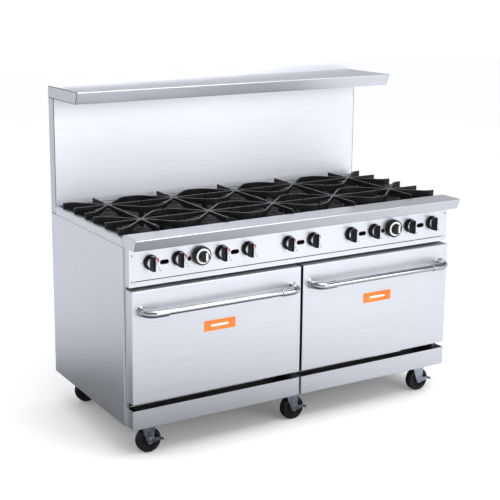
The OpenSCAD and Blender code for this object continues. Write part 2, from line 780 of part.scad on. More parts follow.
chassis_rails();
chassis_posts();
chassis_plates();
side_panels();
rear_panel();
riser();
overhead_shelf();
front_ledge();
side_rails();
control_panel();
kick_plates();
oven_boxes();
oven_insulation();
oven_front_frame();
supply_pipe();
gas_pipework();
gas_valves();
burner_heads();
burner_tubes();
fasteners();
grates();
door_skin(-oven_x);  // door_left_skin
door_liner(-oven_x);  // door_left_liner
door_handle(-oven_x);  // door_left_handle
door_plate(-oven_x);  // door_left_plate
door_skin(oven_x);  // door_right_skin
door_liner(oven_x);  // door_right_liner
door_handle(oven_x);  // door_right_handle
door_plate(oven_x);  // door_right_plate
crumb_tray(-tray_end, tray_split - 0.5);  // crumb_tray_left
crumb_tray(tray_split + 0.5, tray_end);  // crumb_tray_right
oven_rack(-oven_x);  // oven_rack_left
oven_rack(oven_x);  // oven_rack_right
thermostat_dial(-thermo_x);  // thermostat_dial_left
thermostat_dial(thermo_x);  // thermostat_dial_right
for (n = [1 : 10])
    burner_knob(n);
for (n = [1 : 6]) {
    caster_fork(n);
    caster_wheel(n);
}
for (n = [1 : 3])
    brake_pedal(n);
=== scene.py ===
"""Finished surfaces, fittings and a plain studio for a commercial gas range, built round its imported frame."""
import json
import math

import bmesh
import bpy
import numpy as np
from bpy.props import FloatProperty, FloatVectorProperty, PointerProperty
from mathutils import Euler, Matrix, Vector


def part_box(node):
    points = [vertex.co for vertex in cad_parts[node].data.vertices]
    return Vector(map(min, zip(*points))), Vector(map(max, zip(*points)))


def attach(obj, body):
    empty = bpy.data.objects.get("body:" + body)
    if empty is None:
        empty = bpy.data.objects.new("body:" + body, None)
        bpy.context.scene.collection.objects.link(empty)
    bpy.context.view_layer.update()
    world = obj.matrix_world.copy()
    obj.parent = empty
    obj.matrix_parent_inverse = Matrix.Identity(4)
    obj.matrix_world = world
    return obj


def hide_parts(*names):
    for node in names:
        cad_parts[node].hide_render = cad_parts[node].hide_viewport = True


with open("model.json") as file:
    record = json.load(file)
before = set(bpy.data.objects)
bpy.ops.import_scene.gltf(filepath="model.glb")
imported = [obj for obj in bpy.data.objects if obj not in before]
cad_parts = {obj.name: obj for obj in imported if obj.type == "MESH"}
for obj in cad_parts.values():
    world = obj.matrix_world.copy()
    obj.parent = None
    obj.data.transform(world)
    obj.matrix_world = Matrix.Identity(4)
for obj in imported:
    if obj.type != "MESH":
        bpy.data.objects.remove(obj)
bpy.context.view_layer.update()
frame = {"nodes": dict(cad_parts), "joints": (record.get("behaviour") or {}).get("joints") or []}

bl_info = {
    "name": "Commercial Gas Range",
    "version": (1, 0, 0),
    "blender": (4, 5, 0),
    "location": "View3D > Sidebar > Range",
    "description": "Finishes a ten-burner gas range and sets a plain studio round it",
    "category": "Object",
}

JOINTS = {joint["name"]: joint for joint in frame["joints"]}
SIDES = ("left", "right")

# Where a surface's own x, y and z point once it is placed
UPRIGHT = np.eye(3)
FACING_FRONT = np.array([[1.0, 0.0, 0.0], [0.0, 0.0, 1.0], [0.0, -1.0, 0.0]])
ACROSS = np.array([[0.0, -1.0, 0.0], [0.0, 0.0, 1.0], [1.0, 0.0, 0.0]])
PLAN_FORWARD = np.array([[1.0, 0.0, 0.0], [0.0, -1.0, 0.0], [0.0, 0.0, 1.0]])


# ---------------------------------------------------------------- surfaces


def quads(grid, close_u=False, close_v=False):
    """A surface from a grid of points: one face between each point and its next neighbours both ways."""
    rows, columns = grid.shape[:2]
    index = np.arange(rows * columns).reshape(rows, columns)
    if close_u:
        index = np.vstack([index, index[:1]])
    if close_v:
        index = np.hstack([index, index[:, :1]])
    faces = np.stack([index[:-1, :-1], index[1:, :-1], index[1:, 1:], index[:-1, 1:]], axis=-1)
    return grid.reshape(-1, 3), faces.reshape(-1, 4).tolist()


def joined(*surfaces):
    """Several surfaces as one: the points in turn, and each face counted on from the points before it."""
    points, faces, start = [], [], 0
    for own_points, own_faces in surfaces:
        points.append(own_points)
        faces += [[start + i for i in face] for face in own_faces]
        start += len(own_points)
    return np.vstack(points), faces


def placed(surface, origin, axes=UPRIGHT):
    """The surface with its own x, y and z laid along the three rows of axes, and moved to origin."""
    points, faces = surface
    return points @ axes + np.asarray(origin, float), faces


def spun(surface, angle):
    """The surface turned about its own z."""
    c, s = math.cos(angle), math.sin(angle)
    return placed(surface, (0, 0, 0), np.array([[c, s, 0], [-s, c, 0], [0, 0, 1.0]]))


def offset(path, distance, closed=False):
    """Every side of a flat path shifted to its left: a point moves by d (n1 + n2) / (1 + n1 . n2)."""
    ahead = np.roll(path, -1, axis=0) - path
    if not closed:
        ahead[-1] = ahead[-2]
    ahead = ahead / np.linalg.norm(ahead, axis=1, keepdims=True)
    normal = np.column_stack([-ahead[:, 1], ahead[:, 0]])
    before = np.roll(normal, 1, axis=0)
    if not closed:
        before[0] = normal[0]
    share = 1 + np.sum(normal * before, axis=1, keepdims=True)
    return path + distance * (normal + before) / share


def filleted(points, radius, steps=6, closed=True):
    """Each corner c gives way to (1-t)^2 a + 2t(1-t) c + t^2 b, with a and b on its sides, radius away."""
    points = np.asarray(points, float)
    radius = np.broadcast_to(radius, len(points))[:, None]
    back = np.roll(points, 1, axis=0) - points
    ahead = np.roll(points, -1, axis=0) - points
    a = points + radius * back / np.linalg.norm(back, axis=1, keepdims=True)
    b = points + radius * ahead / np.linalg.norm(ahead, axis=1, keepdims=True)
    t = np.linspace(0, 1, steps)[None, :, None]
    curve = (1 - t) ** 2 * a[:, None] + 2 * t * (1 - t) * points[:, None] + t ** 2 * b[:, None]
    if closed:
        return curve.reshape(-1, 2)
    return np.vstack([points[:1], curve[1:-1].reshape(-1, 2), points[-1:]])


def rounded_rectangle(width, height, radius, steps=6):
    """Corner arcs c + r (cos a, sin a) in turn round a rectangle."""
    a = np.linspace(0, math.pi / 2, steps)
    signs = ((1, 1), (-1, 1), (-1, -1), (1, -1))
    corners = []
    for k, (sx, sy) in enumerate(signs):
        turn = a + k * math.pi / 2
        centre = np.array([sx * (width / 2 - radius), sy * (height / 2 - radius)])
        corners.append(centre + radius * np.column_stack([np.cos(turn), np.sin(turn)]))
    return np.vstack(corners)


def circle(radius, steps=24):
    """Points r (cos a, sin a) for even steps of a."""
    a = np.linspace(0, 2 * math.pi, steps, endpoint=False)
    return radius * np.column_stack([np.cos(a), np.sin(a)])


def prism(outline, low, high, edge=0.0, steps=3):
    """A thick flat shape with rounded rims: the outline draws in by e (1 - sin t) at a height e (1 - cos t)."""
    if edge > 0:
        t = np.linspace(0, math.pi / 2, steps + 1)
        draw = edge * (1 - np.sin(t))
        rise = edge * (1 - np.cos(t))
        draws = np.concatenate([draw, draw[::-1]])
        heights = np.concatenate([low + rise, high - rise[::-1]])
    else:
        draws, heights = np.zeros(2), np.array([low, high])
    rings = [np.column_stack([offset(outline, d, True), np.full(len(outline), h)])
             for d, h in zip(draws, heights)]
    points, faces = quads(np.stack(rings), close_v=True)
    count = len(outline)
    last = len(points) - count
    return points, faces + [list(range(count))[::-1], list(range(last, last + count))]


def turned(profile, steps=48, flutes=0, depth=0.0):
    """A turned surface: (r cos a, r sin a, h), where r may ripple by depth * cos(flutes * a)."""
    radius, height = np.asarray(profile, float).T
    a = np.linspace(0, 2 * math.pi, steps, endpoint=False)[:, None]
    ripple = 1 - depth * (0.5 - 0.5 * np.cos(flutes * a))
    grid = np.stack([radius * ripple * np.cos(a), radius * ripple * np.sin(a), height + 0 * a], axis=-1)
    return quads(grid, close_u=True)


def swept(path, section, closed=False):
    """A section carried along a level path: point = path + left normal * s + up * h for each (s, h) of it."""
    path = np.asarray(path, float)
    section = np.asarray(section, float)
    if section.ndim == 2:
        section = np.broadcast_to(section, (len(path),) + section.shape)
    side = offset(path, 1.0, closed) - path
    grid = np.concatenate([path[:, None] + side[:, None] * section[..., :1], section[..., 1:]], axis=-1)
    points, faces = quads(grid, close_u=closed, close_v=True)
    if closed:
        return points, faces
    count = section.shape[1]
    last = len(points) - count
    return points, faces + [list(range(count)), list(range(last, last + count))[::-1]]


def sheet_section(path, thickness):
    """The closed outline of a folded sheet: its middle line shifted half a thickness each way."""
    return np.vstack([offset(path, thickness / 2), offset(path, -thickness / 2)[::-1]])


def block(low, high, edge):
    """A block with rounded upright corners and rims, between two corners."""
    low, high = np.asarray(low, float), np.asarray(high, float)
    size = high - low
    radius = min(edge * 1.5, size[0] * 0.45, size[1] * 0.45)
    outline = rounded_rectangle(size[0], size[1], radius, 4) + (low + high)[:2] / 2
    return prism(outline, low[2], high[2], min(edge, radius * 0.9, size[2] * 0.45), 2)


def arc(centre, radius, start, end, steps=12):
    """Points c + r (cos a, sin a) from one angle to another."""
    a = np.linspace(start, end, steps)
    return np.asarray(centre, float) + radius * np.column_stack([np.cos(a), np.sin(a)])


# ---------------------------------------------------------------- pieces


def even_shading(piece):
    """Shading normals weighted by face area, so a flat face between two bends stays flat."""
    weighting = piece.modifiers.new("Even shading", "WEIGHTED_NORMAL")
    weighting.keep_sharp = True


def make_piece(name, parts, materials, body, replaces=(), angle=35):
    """One object from (surface, material number) parts, welded, with its faces outwards and sharp edges kept."""
    mesh = bpy.data.meshes.new(name)
    points, faces = joined(*[surface for surface, _ in parts])
    mesh.from_pydata(points.tolist(), [], faces)
    numbers = np.concatenate([np.full(len(surface[1]), number) for surface, number in parts])
    mesh.polygons.foreach_set("material_index", numbers.astype(np.int32))
    edit = bmesh.new()
    edit.from_mesh(mesh)
    bmesh.ops.remove_doubles(edit, verts=edit.verts, dist=1e-6)
    bmesh.ops.dissolve_degenerate(edit, edges=edit.edges, dist=1e-7)
    bmesh.ops.recalc_face_normals(edit, faces=edit.faces)
    edit.to_mesh(mesh)
    edit.free()
    for material in materials:
        mesh.materials.append(material)
    mesh.shade_smooth()
    mesh.set_sharp_from_angle(angle=math.radians(angle))
    piece = bpy.data.objects.new(name, mesh)
    bpy.context.scene.collection.objects.link(piece)
    even_shading(piece)
    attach(piece, body)
    if replaces:
        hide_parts(*replaces)
    return piece


def folded_tray(name, faces, corners, bend, thickness, materials, body, replaces, lined=()):
    """Flat faces between numbered corners, bent along their shared edges and given the sheet's thickness inwards.
    lined pairs a face's number with its material's, where that isn't the first."""
    mesh = bpy.data.meshes.new(name)
    mesh.from_pydata(np.asarray(corners).tolist(), [], faces)
    for material in materials:
        mesh.materials.append(material)
    for face, number in lined:
        mesh.polygons[face].material_index = number
    mesh.shade_smooth()
    piece = bpy.data.objects.new(name, mesh)
    bpy.context.scene.collection.objects.link(piece)
    rounding = piece.modifiers.new("Bends", "BEVEL")
    rounding.width = bend
    rounding.segments = 4
    rounding.harden_normals = True
    wall = piece.modifiers.new("Sheet", "SOLIDIFY")
    wall.thickness = thickness
    wall.offset = -1
    even_shading(piece)
    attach(piece, body)
    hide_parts(*replaces)
    return piece


def node_box(name):
    """A CAD node's lowest and highest corners as arrays."""
    low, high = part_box(name)
    return np.array(low), np.array(high)


# ---------------------------------------------------------------- materials


def add_node(tree, kind, values=None, sources=None, **settings):
    """A shader node with its settings, then constants and links on its sockets, by name or number."""
    node = tree.nodes.new("ShaderNode" + kind)
    for name, value in settings.items():
        setattr(node, name, value)
    for socket, value in (values or {}).items():
        node.inputs[socket].default_value = value
    for socket, source in (sources or {}).items():
        tree.links.new(source, node.inputs[socket])
    return node


def scaled(colour, factor):
    return tuple(min(1.0, channel * factor) for channel in colour)


class Shader:
    """A Principled material under construction, with Object coordinates ready."""

    def __init__(self, name, **constants):
        """The constants go on the Principled sockets; a word's underscores stand for spaces."""
        self.material = bpy.data.materials.new(name)
        self.material.use_nodes = True
        self.tree = self.material.node_tree
        self.surface = self.tree.nodes["Principled BSDF"]
        self.place = add_node(self.tree, "TexCoord").outputs["Object"]
        for word, value in constants.items():
            self.surface.inputs[word.replace("_", " ")].default_value = value

    def stretched(self, scale, shift=(0, 0, 0)):
        """Object coordinates scaled apart on the three axes, then shifted."""
        node = add_node(self.tree, "Mapping", {"Location": shift, "Scale": scale}, {"Vector": self.place})
        return node.outputs["Vector"]

    def along(self, axis):
        """The place's own X, Y or Z."""
        return add_node(self.tree, "SeparateXYZ", sources={0: self.place}).outputs[axis]

    def noise(self, scale, detail=2.0, stretch=None, distortion=0.0):
        """Noise value at a scale, along stretched coordinates where given."""
        place = self.stretched(stretch) if stretch else self.place
        values = {"Scale": scale, "Detail": detail, "Distortion": distortion}
        return add_node(self.tree, "TexNoise", values, {"Vector": place}).outputs["Fac"]

    def cells(self, scale):
        """Distance to the nearest point of a scattered set."""
        return add_node(self.tree, "TexVoronoi", {"Scale": scale}, {"Vector": self.place}).outputs["Distance"]

    def band(self, value, low, high, start=0.35, end=0.65):
        """The value spread from start..end to low..high."""
        values = {"From Min": start, "From Max": end, "To Min": low, "To Max": high}
        return add_node(self.tree, "MapRange", values, {"Value": value}).outputs["Result"]

    def between(self, value, dark, light):
        """A colour that runs from dark to light with the value."""
        values = {6: (*dark, 1), 7: (*light, 1)}
        return add_node(self.tree, "Mix", values, {0: value}, data_type="RGBA").outputs[2]

    def tone(self, value, colour, dark, light):
        """A colour that runs from dark times to light times itself with a noise."""
        return self.between(self.band(value, 0, 1), scaled(colour, dark), scaled(colour, light))

    def bump(self, height, distance, strength=1.0, under=None):
        """Relief of the given depth in metres, over an earlier relief where there is one."""
        values = {"Distance": distance, "Strength": strength}
        sources = {"Height": height} if under is None else {"Height": height, "Normal": under}
        return add_node(self.tree, "Bump", values, sources).outputs["Normal"]

    def coated(self, colour, roughness, relief):
        """The material, with its three varying sockets linked."""
        for socket, source in (("Base Color", colour), ("Roughness", roughness), ("Normal", relief)):
            self.tree.links.new(source, self.surface.inputs[socket])
        return self.material


def clouded(name, colour, cloud, shades, rough, skin, relief, **constants):
    """A finish whose tone and gloss follow one noise and its relief another, each a scale and a detail."""
    shader = Shader(name, **constants)
    wear = shader.noise(*cloud)
    return shader.coated(shader.tone(wear, colour, *shades), shader.band(wear, *rough),
                         shader.bump(shader.noise(*skin), *relief))


def brushed_steel(name, steel, grain, shade=1.0, rough=0.36, metallic=0.82):
    """Stainless sheet: fine streaks along the grain in colour and relief, and slow changes of gloss."""
    across = [900.0, 900.0, 900.0]
    across[grain] = 6.0
    shader = Shader(name, Metallic=metallic, Specular_IOR_Level=0.5)
    streaks = shader.noise(1.0, 3.0, across)
    gloss = shader.band(shader.noise(1.6, 0.0), rough - 0.02, rough + 0.03, 0.2, 0.8)
    return shader.coated(shader.tone(streaks, scaled(steel, shade), 0.95, 1.04), gloss,
                         shader.bump(streaks, 0.00002, 0.45))


def tray_painted_shade(name, steel, front):
    """Stainless sheet with painted shade: it turns dark behind its front, where it lies in the burner box under
    the grates.
    """
    shader = Shader(name, Metallic=0.6)
    # Painted shade: dark from just behind the front edge back.
    behind = shader.band(shader.along("Y"), 0, 1, front + 0.012, front + 0.03)
    tray_mottle = shader.noise(22.0, 5.0)
    return shader.coated(shader.between(behind, steel, (0.012, 0.011, 0.01)), shader.band(tray_mottle, 0.34, 0.5),
                         shader.bump(tray_mottle, 0.0002, 0.2))


def polished_chrome(name, colour):
    """Bright plate under the faintest haze."""
    return clouded(name, colour, (30.0, 5.0), (0.94, 1.0), (0.07, 0.11), (9.0, 1.0), (0.00004, 0.12),
                   Metallic=1.0)


def cast_iron(name, colour, rough=0.42):
    """Sand-cast iron under black enamel: a pebbled skin, with paler dust on the high grains."""
    shader = Shader(name, Metallic=0.0, Specular_IOR_Level=0.28)
    grain = shader.noise(420.0, 4.0)
    patches = shader.noise(18.0, 5.0)
    relief = shader.bump(patches, 0.0008, 0.35)
    return shader.coated(shader.tone(patches, colour, 0.65, 1.6), shader.band(grain, rough - 0.12, rough + 0.14),
                         shader.bump(grain, 0.00035, 0.6, relief))


def plated_zinc(name, colour):
    """Blue-bright zinc plate with the faint spangle of a pressed part."""
    shader = Shader(name, Metallic=1.0)
    cloud = shader.noise(40.0, 4.0)
    return shader.coated(shader.tone(cloud, colour, 0.8, 1.15),
                         shader.band(shader.cells(160.0), 0.22, 0.4, 0.0, 0.8), shader.bump(cloud, 0.0002, 0.3))


def moulded_plastic(name, colour, rough=0.32):
    """Moulded phenolic: a fine even texture with slight gloss changes."""
    return clouded(name, colour, (60.0, 4.0), (0.8, 1.5), (rough - 0.06, rough + 0.1), (900.0, 2.0),
                   (0.00006, 0.5), Specular_IOR_Level=0.22)


def rubber(name, colour):
    """Black rubber, scuffed paler in patches."""
    return clouded(name, colour, (90.0, 5.0), (0.7, 2.0), (0.42, 0.68), (700.0, 3.0), (0.00012, 0.5),
                   Specular_IOR_Level=0.4)


def speckled_enamel(name, colour):
    """Porcelain enamel: pale specks scattered through a dark gloss coat."""
    shader = Shader(name, Specular_IOR_Level=0.6, Coat_Weight=0.6, Coat_Roughness=0.08)
    specks = shader.band(shader.cells(420.0), 1, 0, 0.08, 0.2)
    ripple = shader.noise(60.0, 3.0)
    return shader.coated(shader.between(specks, colour, scaled(colour, 5.0)), shader.band(ripple, 0.16, 0.32),
                         shader.bump(ripple, 0.0003, 0.25))


def paint(name, colour, rough=0.4, metallic=0.0):
    """Sprayed paint: a slight orange-peel skin and a little change of tone."""
    return clouded(name, colour, (7.0, 4.0), (0.88, 1.1), (rough - 0.05, rough + 0.08), (350.0, 3.0),
                   (0.00008, 0.4), Metallic=metallic, Specular_IOR_Level=0.5)


def chassis_paint(name, low_colour, high_colour, level):
    """Sprayed paint, with heatproof paint of another colour above a level."""
    shader = Shader(name, Metallic=0.0, Specular_IOR_Level=0.5)
    above = shader.band(shader.along("Z"), 0, 1, level - 0.001, level + 0.001)
    wear = shader.noise(7.0, 4.0)
    below_tone, above_tone = [shader.tone(wear, colour, 0.88, 1.1) for colour in (low_colour, high_colour)]
    sources = {0: above, 6: below_tone, 7: above_tone}
    colour = add_node(shader.tree, "Mix", sources=sources, data_type="RGBA").outputs[2]
    return shader.coated(colour, shader.band(wear, 0.4, 0.55), shader.bump(shader.noise(350.0, 3.0), 0.00008, 0.4))


def machined_brass(name, colour):
    """Brass with the rings that a cutting tool leaves."""
    shader = Shader(name, Metallic=1.0)
    rings = shader.noise(1.0, 3.0, (700.0, 40.0, 700.0))
    return shader.coated(shader.tone(rings, colour, 0.8, 1.15), shader.band(rings, 0.22, 0.38),
                         shader.bump(rings, 0.00005, 0.4))


def mineral_wool(name, colour):
    """Matted fibres, much longer one way than the other."""
    shader = Shader(name, Sheen_Weight=0.3)
    fibre = shader.noise(1.0, 5.0, (90.0, 400.0, 400.0), 1.2)
    return shader.coated(shader.tone(fibre, colour, 0.6, 1.2), shader.band(fibre, 0.85, 1.0),
                         shader.bump(fibre, 0.002, 0.8))


def build_materials():
    """Every finish, by the plain name that the pieces ask for."""
    finish = bpy.context.scene.gas_range.finish
    steel = finish.steel
    return {
        "sheet_across": brushed_steel("Stainless grain across", steel, 0),
        "sheet_deep": brushed_steel("Stainless grain front to back", steel, 1, 0.97, 0.36),
        "sheet_upright": brushed_steel("Stainless grain upright", steel, 2, 1.0, 0.38),
        # Painted shade: the front ledge takes a slightly darker copy of the steel, 0.95 times its colour.
        "sheet_ledge": brushed_steel("Stainless ledge", steel, 0, 0.95, 0.3, 0.92),
        # Painted light: the riser's front sheet and foot, and the riser screws' domes, take a lighter copy of the
        # steel, 1.12 times its colour.
        "sheet_riser": brushed_steel("Stainless riser", steel, 0, 1.12, 0.5, 0.55),
        # Painted shade: the doors' top faces, in the crevice under the control panel, take a much darker copy of
        # the steel.
        "sheet_hem": brushed_steel("Stainless hem", steel, 0, 0.45, 0.5, 0.3),
        # Painted shade: the riser's case, crown and louvres and the shelf's end caps take a darker copy of the
        # steel.
        "sheet_case": brushed_steel("Stainless riser case", steel, 2, 0.86, 0.42, 0.82),
        "tray": tray_painted_shade("Stainless tray", steel, node_box("control_panel")[0][1]),
        "chrome": polished_chrome("Polished chrome", finish.chrome),
        "grate_iron": cast_iron("Grate iron", finish.iron),
        # Painted highlight: the grates' top faces take a paler, glossier iron.
        "rubbed_iron": cast_iron("Rubbed iron", (0.028, 0.029, 0.031), 0.3),
        "burner_iron": cast_iron("Burner iron", scaled(finish.iron, 1.7), 0.55),
        "tube_iron": cast_iron("Tube iron", scaled(finish.iron, 1.3), 0.6),
        "zinc": plated_zinc("Zinc plate", finish.zinc),
        "rack": polished_chrome("Rack plate", finish.chrome),
        "knob": moulded_plastic("Knob black", finish.plastic, 0.2),
        "grip": moulded_plastic("Grip black", finish.plastic, 0.18),
        "hub": moulded_plastic("Wheel hub", scaled(finish.plastic, 1.8), 0.4),
        "tyre": rubber("Wheel rubber", finish.rubber),
        "gasket": rubber("Oven gasket", scaled(finish.rubber, 1.4)),
        # Painted shade: thin strips of this dark rubber stand in the gaps between sheets, where shadow falls.
        "sealant": rubber("Dark joint", scaled(finish.rubber, 1.2)),
        "enamel": speckled_enamel("Oven enamel", finish.enamel),
        "chassis": chassis_paint("Chassis paint", (0.06, 0.06, 0.065), (0.012, 0.012, 0.014), 0.7),
        "black": paint("Heatproof black", (0.012, 0.012, 0.014), 0.5),
        "orange": paint("Orange plate", finish.plate, 0.3),
        "white": paint("White print", (0.85, 0.85, 0.85), 0.4),
        "print": paint("Black print", (0.02, 0.02, 0.025), 0.5),
        "red": paint("Red print", finish.mark, 0.35),
        "pipe": paint("Pipe steel", (0.16, 0.165, 0.175), 0.4, 0.7),
        "brass": machined_brass("Valve brass", (0.62, 0.44, 0.2)),
        "wool": mineral_wool("Mineral wool", (0.5, 0.44, 0.26)),
    }


MATERIALS = {}

# The carried-over CAD nodes that wear each finish
NODE_FINISH = {
    "chassis": ("chassis_rails", "chassis_posts", "chassis_plates"),
    "black": ("oven_front_frame",),
    "sheet_upright": ("side_panels",),
    "sheet_across": ("rear_panel", "riser", "control_panel"),
    "sheet_deep": ("side_rails",),
    "enamel": ("oven_boxes", "door_left_liner", "door_right_liner"),
    "wool": ("oven_insulation",),
    "pipe": ("supply_pipe", "gas_pipework"),
    "brass": ("gas_valves",),
    "tube_iron": ("burner_tubes",),
    "tray": ("crumb_tray_left", "crumb_tray_right"),
    "rack": ("oven_rack_left", "oven_rack_right"),
}


# ---------------------------------------------------------------- settings


def colour(name, description, default):
    return FloatVectorProperty(name=name, description=description, subtype="COLOR", size=3,
                               min=0.0, max=1.0, default=default)


def length(name, description, default):
    return FloatProperty(name=name, description=description, unit="LENGTH", default=default)


class FinishColours(bpy.types.PropertyGroup):
    """Base colours of the finishes."""
    steel: colour("Stainless", "Reflected colour of the brushed sheet", (0.66, 0.675, 0.72))
    chrome: colour("Chrome", "Reflected colour of the handles", (0.5, 0.508, 0.528))
    iron: colour("Cast iron", "Grates and burner heads", (0.006, 0.007, 0.0075))
    zinc: colour("Zinc", "Caster forks and pedals", (0.5, 0.53, 0.62))
    plastic: colour("Plastic", "Knobs and dials", (0.006, 0.0065, 0.007))
    # The rubber colour also makes the dark strips of painted shade in the gaps between sheets.
    rubber: colour("Rubber", "Wheels, gaskets and joints", (0.005, 0.005, 0.0055))
    enamel: colour("Enamel", "Oven lining", (0.05, 0.055, 0.07))
    plate: colour("Door plate", "Small plates on the doors", (0.92, 0.19, 0.014))
    mark: colour("Off mark", "Print beside each burner knob", (0.75, 0.05, 0.07))


class SheetSizes(bpy.types.PropertyGroup):
    """Folded sheet metal."""
    thickness: length("Thickness", "Thickness of the sheet", 0.0015)
    bend: length("Bend", "Size of a fold's rounding", 0.003)
    lean: length("Lip lean", "How far a lip leans back over its height", 0.02)
    upstand: length("Upstand", "Height of the strip behind the shelf", 0.027)
    # The dark strip of painted shade over the crumb trays is twice this high.
    joint: length("Joint", "Width of the dark joint between two sheets", 0.0015)
    flange: length("Flange", "Reach of a side panel's flanges behind its face", 0.02)


class GrateSizes(bpy.types.PropertyGroup):
    """Cast top grates."""
    top: length("Rib top", "Width of a rib along its top", 0.0075)
    foot: length("Rib foot", "Width of a rib along its foot", 0.0055)
    hub: length("Hub", "Radius of the hub", 0.022)
    shallow: length("Inner depth", "Depth of a rib beside the hub", 0.011)
    spread: length("Finger offset", "Distance of a finger's end from the middle bar", 0.113)
    bend: length("Finger bend", "Radius of a finger's bend", 0.07)


class KnobSizes(bpy.types.PropertyGroup):
    """Burner knobs and thermostat dials."""
    skirt: length("Skirt", "Radius of a burner knob's skirt", 0.0285)
    blade_low: length("Blade low end", "Reach of the grip below the axis", 0.03)
    blade_high: length("Blade high end", "Reach of the grip above the axis", 0.026)
    cap: length("Cap", "Radius of the bright cap", 0.0215)
    drum: length("Drum", "Radius of a thermostat dial", 0.0365)
    grip: length("Grip", "Radius of the small knob on a dial", 0.0212)


class CasterSizes(bpy.types.PropertyGroup):
    """Casters."""
    tyre: length("Tyre depth", "Depth of the tyre on its hub", 0.0145)
    leg: length("Leg", "Thickness of a fork's leg", 0.003)


class StudioSettings(bpy.types.PropertyGroup):
    """Camera, lights and floor."""
    place: FloatVectorProperty(name="Camera", description="Where the camera stands", size=3,
                               subtype="TRANSLATION", default=(-2.4667, -3.9211, 1.8456))
    turn: FloatProperty(name="Turn", description="Camera's turn to the right of +Y", subtype="ANGLE",
                        default=0.5112)
    tilt: FloatProperty(name="Tilt", description="Camera's tilt below level", subtype="ANGLE", default=0.2067)
    lens: FloatProperty(name="Lens", description="Focal length in millimetres", default=80.84)
    shift_x: FloatProperty(name="Shift X", description="Sideways shift of the frame", default=0.1)
    shift_y: FloatProperty(name="Shift Y", description="Upward shift of the frame", default=-0.1)
    room: FloatProperty(name="Room light", description="Strength of the even white light", default=0.9)


class RangeSettings(bpy.types.PropertyGroup):
    """All of the range's settings."""
    finish: PointerProperty(type=FinishColours)
    sheet: PointerProperty(type=SheetSizes)
    grate: PointerProperty(type=GrateSizes)
    knob: PointerProperty(type=KnobSizes)
    caster: PointerProperty(type=CasterSizes)
    studio: PointerProperty(type=StudioSettings)


# ---------------------------------------------------------------- shapes of the pieces


def rib(path, depth, sizes):
    """A cast rib under a level top: eased corners, and sides that draw in to a foot at each point's depth."""
    half, foot, ease = sizes.top / 2, sizes.foot / 2, 0.0012
    section = np.array([[half, -ease], [half - ease, 0], [ease - half, 0], [-half, -ease], [-foot, 0], [foot, 0]])
    sections = np.repeat(section[None], len(path), axis=0)
    sections[:, 4:, 1] = -np.asarray(depth)[:, None]
    return swept(path, sections)


def deepening(path, shallow, deep, reach):
    """Depth along a rib: from shallow to deep as 3s^2 - 2s^3 over the first reach metres."""
    steps = np.linalg.norm(np.diff(path, axis=0), axis=1)
    s = np.clip(np.concatenate([[0], np.cumsum(steps)]) / reach, 0, 1)
    return shallow + (deep - shallow) * (3 * s ** 2 - 2 * s ** 3)


def grate_surface(half, deep, sizes):
    """One grate about its hub: four straight bars, and four fingers that leave at 45 degrees and bend out."""
    inner = sizes.hub * 0.6
    bar = np.column_stack([np.linspace(inner, half, 12), np.zeros(12)])
    straight = rib(bar, deepening(bar, sizes.shallow, deep, 0.11), sizes)
    start = sizes.spread - sizes.bend * (1 - math.cos(math.pi / 4))
    centre = (start + sizes.bend * math.sin(math.pi / 4), sizes.spread - sizes.bend)
    leg = np.linspace(inner / math.sqrt(2), start, 8)[:-1]
    finger = np.vstack([np.column_stack([leg, leg]),
                        arc(centre, sizes.bend, math.radians(135), math.radians(90), 10),
                        [[half, sizes.spread]]])
    bent = rib(finger, deepening(finger, sizes.shallow, deep, 0.13), sizes)
    other = rib(finger * (1, -1), deepening(finger, sizes.shallow, deep, 0.13), sizes)
    parts = [spun(straight, k * math.pi / 2) for k in range(4)]
    parts += [spun(shape, k * math.pi) for shape in (bent, other) for k in range(2)]
    hub = sizes.hub
    parts.append(turned([(0, -0.0006), (hub - 0.002, -0.0006), (hub, -0.0025), (hub - 0.002, -sizes.shallow),
                         (0, -sizes.shallow)], 40))
    return joined(*parts)


def by_height(surface, level):
    """The surface's faces that lie wholly above a level, and the others, over the same points."""
    points, faces = surface
    above = [min(points[i][2] for i in face) > level for face in faces]
    return ((points, [face for face, up in zip(faces, above) if up]),
            (points, [face for face, up in zip(faces, above) if not up]))


def burner_parts(height):
    """A burner head standing on z = 0: a plain bowl under a cap whose rim ripples into ports."""
    bowl = turned([(0, 0), (0.024, 0), (0.038, 0.010), (0.041, 0.016), (0.041, height - 0.0105),
                   (0, height - 0.0105)], 48)
    cap = turned([(0, height - 0.011), (0.043, height - 0.011), (0.0445, height - 0.009),
                  (0.0445, height - 0.006), (0.041, height - 0.002), (0.034, height), (0.024, height - 0.001),
                  (0.017, height - 0.0045), (0.008, height - 0.006), (0, height - 0.006)], 192, 32, 0.06)
    return bowl, cap


def handle_surface(half, reach, elbow, tube, bend, sleeve):
    """A round bar along a level path: foot, quarter bend, sleeve, then a thinner tube to the other side."""
    run = half - bend
    ends = np.vstack([[[half, 0]], arc((run, reach - bend), bend, 0, math.pi / 2, 14),
                      [[run - sleeve + 0.002, reach], [run - sleeve + 0.0005, reach], [run - sleeve, reach],
                       [run - sleeve - 0.0005, reach]]])
    radii = np.array([elbow] * (len(ends) - 3) + [elbow - 0.0006, elbow - 0.002, tube])
    path = np.vstack([ends, ends[::-1] * (-1, 1)])
    radii = np.concatenate([radii, radii[::-1]])
    return swept(path, circle(1.0, 32)[None] * radii[:, None, None])


def blade_surface(low, high):
    """A knob's grip: its cross-section narrows outwards and ends in four ridges, and is carried up the knob."""
    ridges = np.linspace(-0.0046, 0.0046, 9)
    crest = np.where(np.arange(9) % 2 == 1, 0.0362, 0.0346)
    outline = np.vstack([[[-0.0072, 0.008], [0.0072, 0.008], [0.0060, 0.033]],
                         np.column_stack([ridges, crest])[::-1], [[-0.0060, 0.033]]])
    return prism(outline, -low, high, 0.0008, 2)


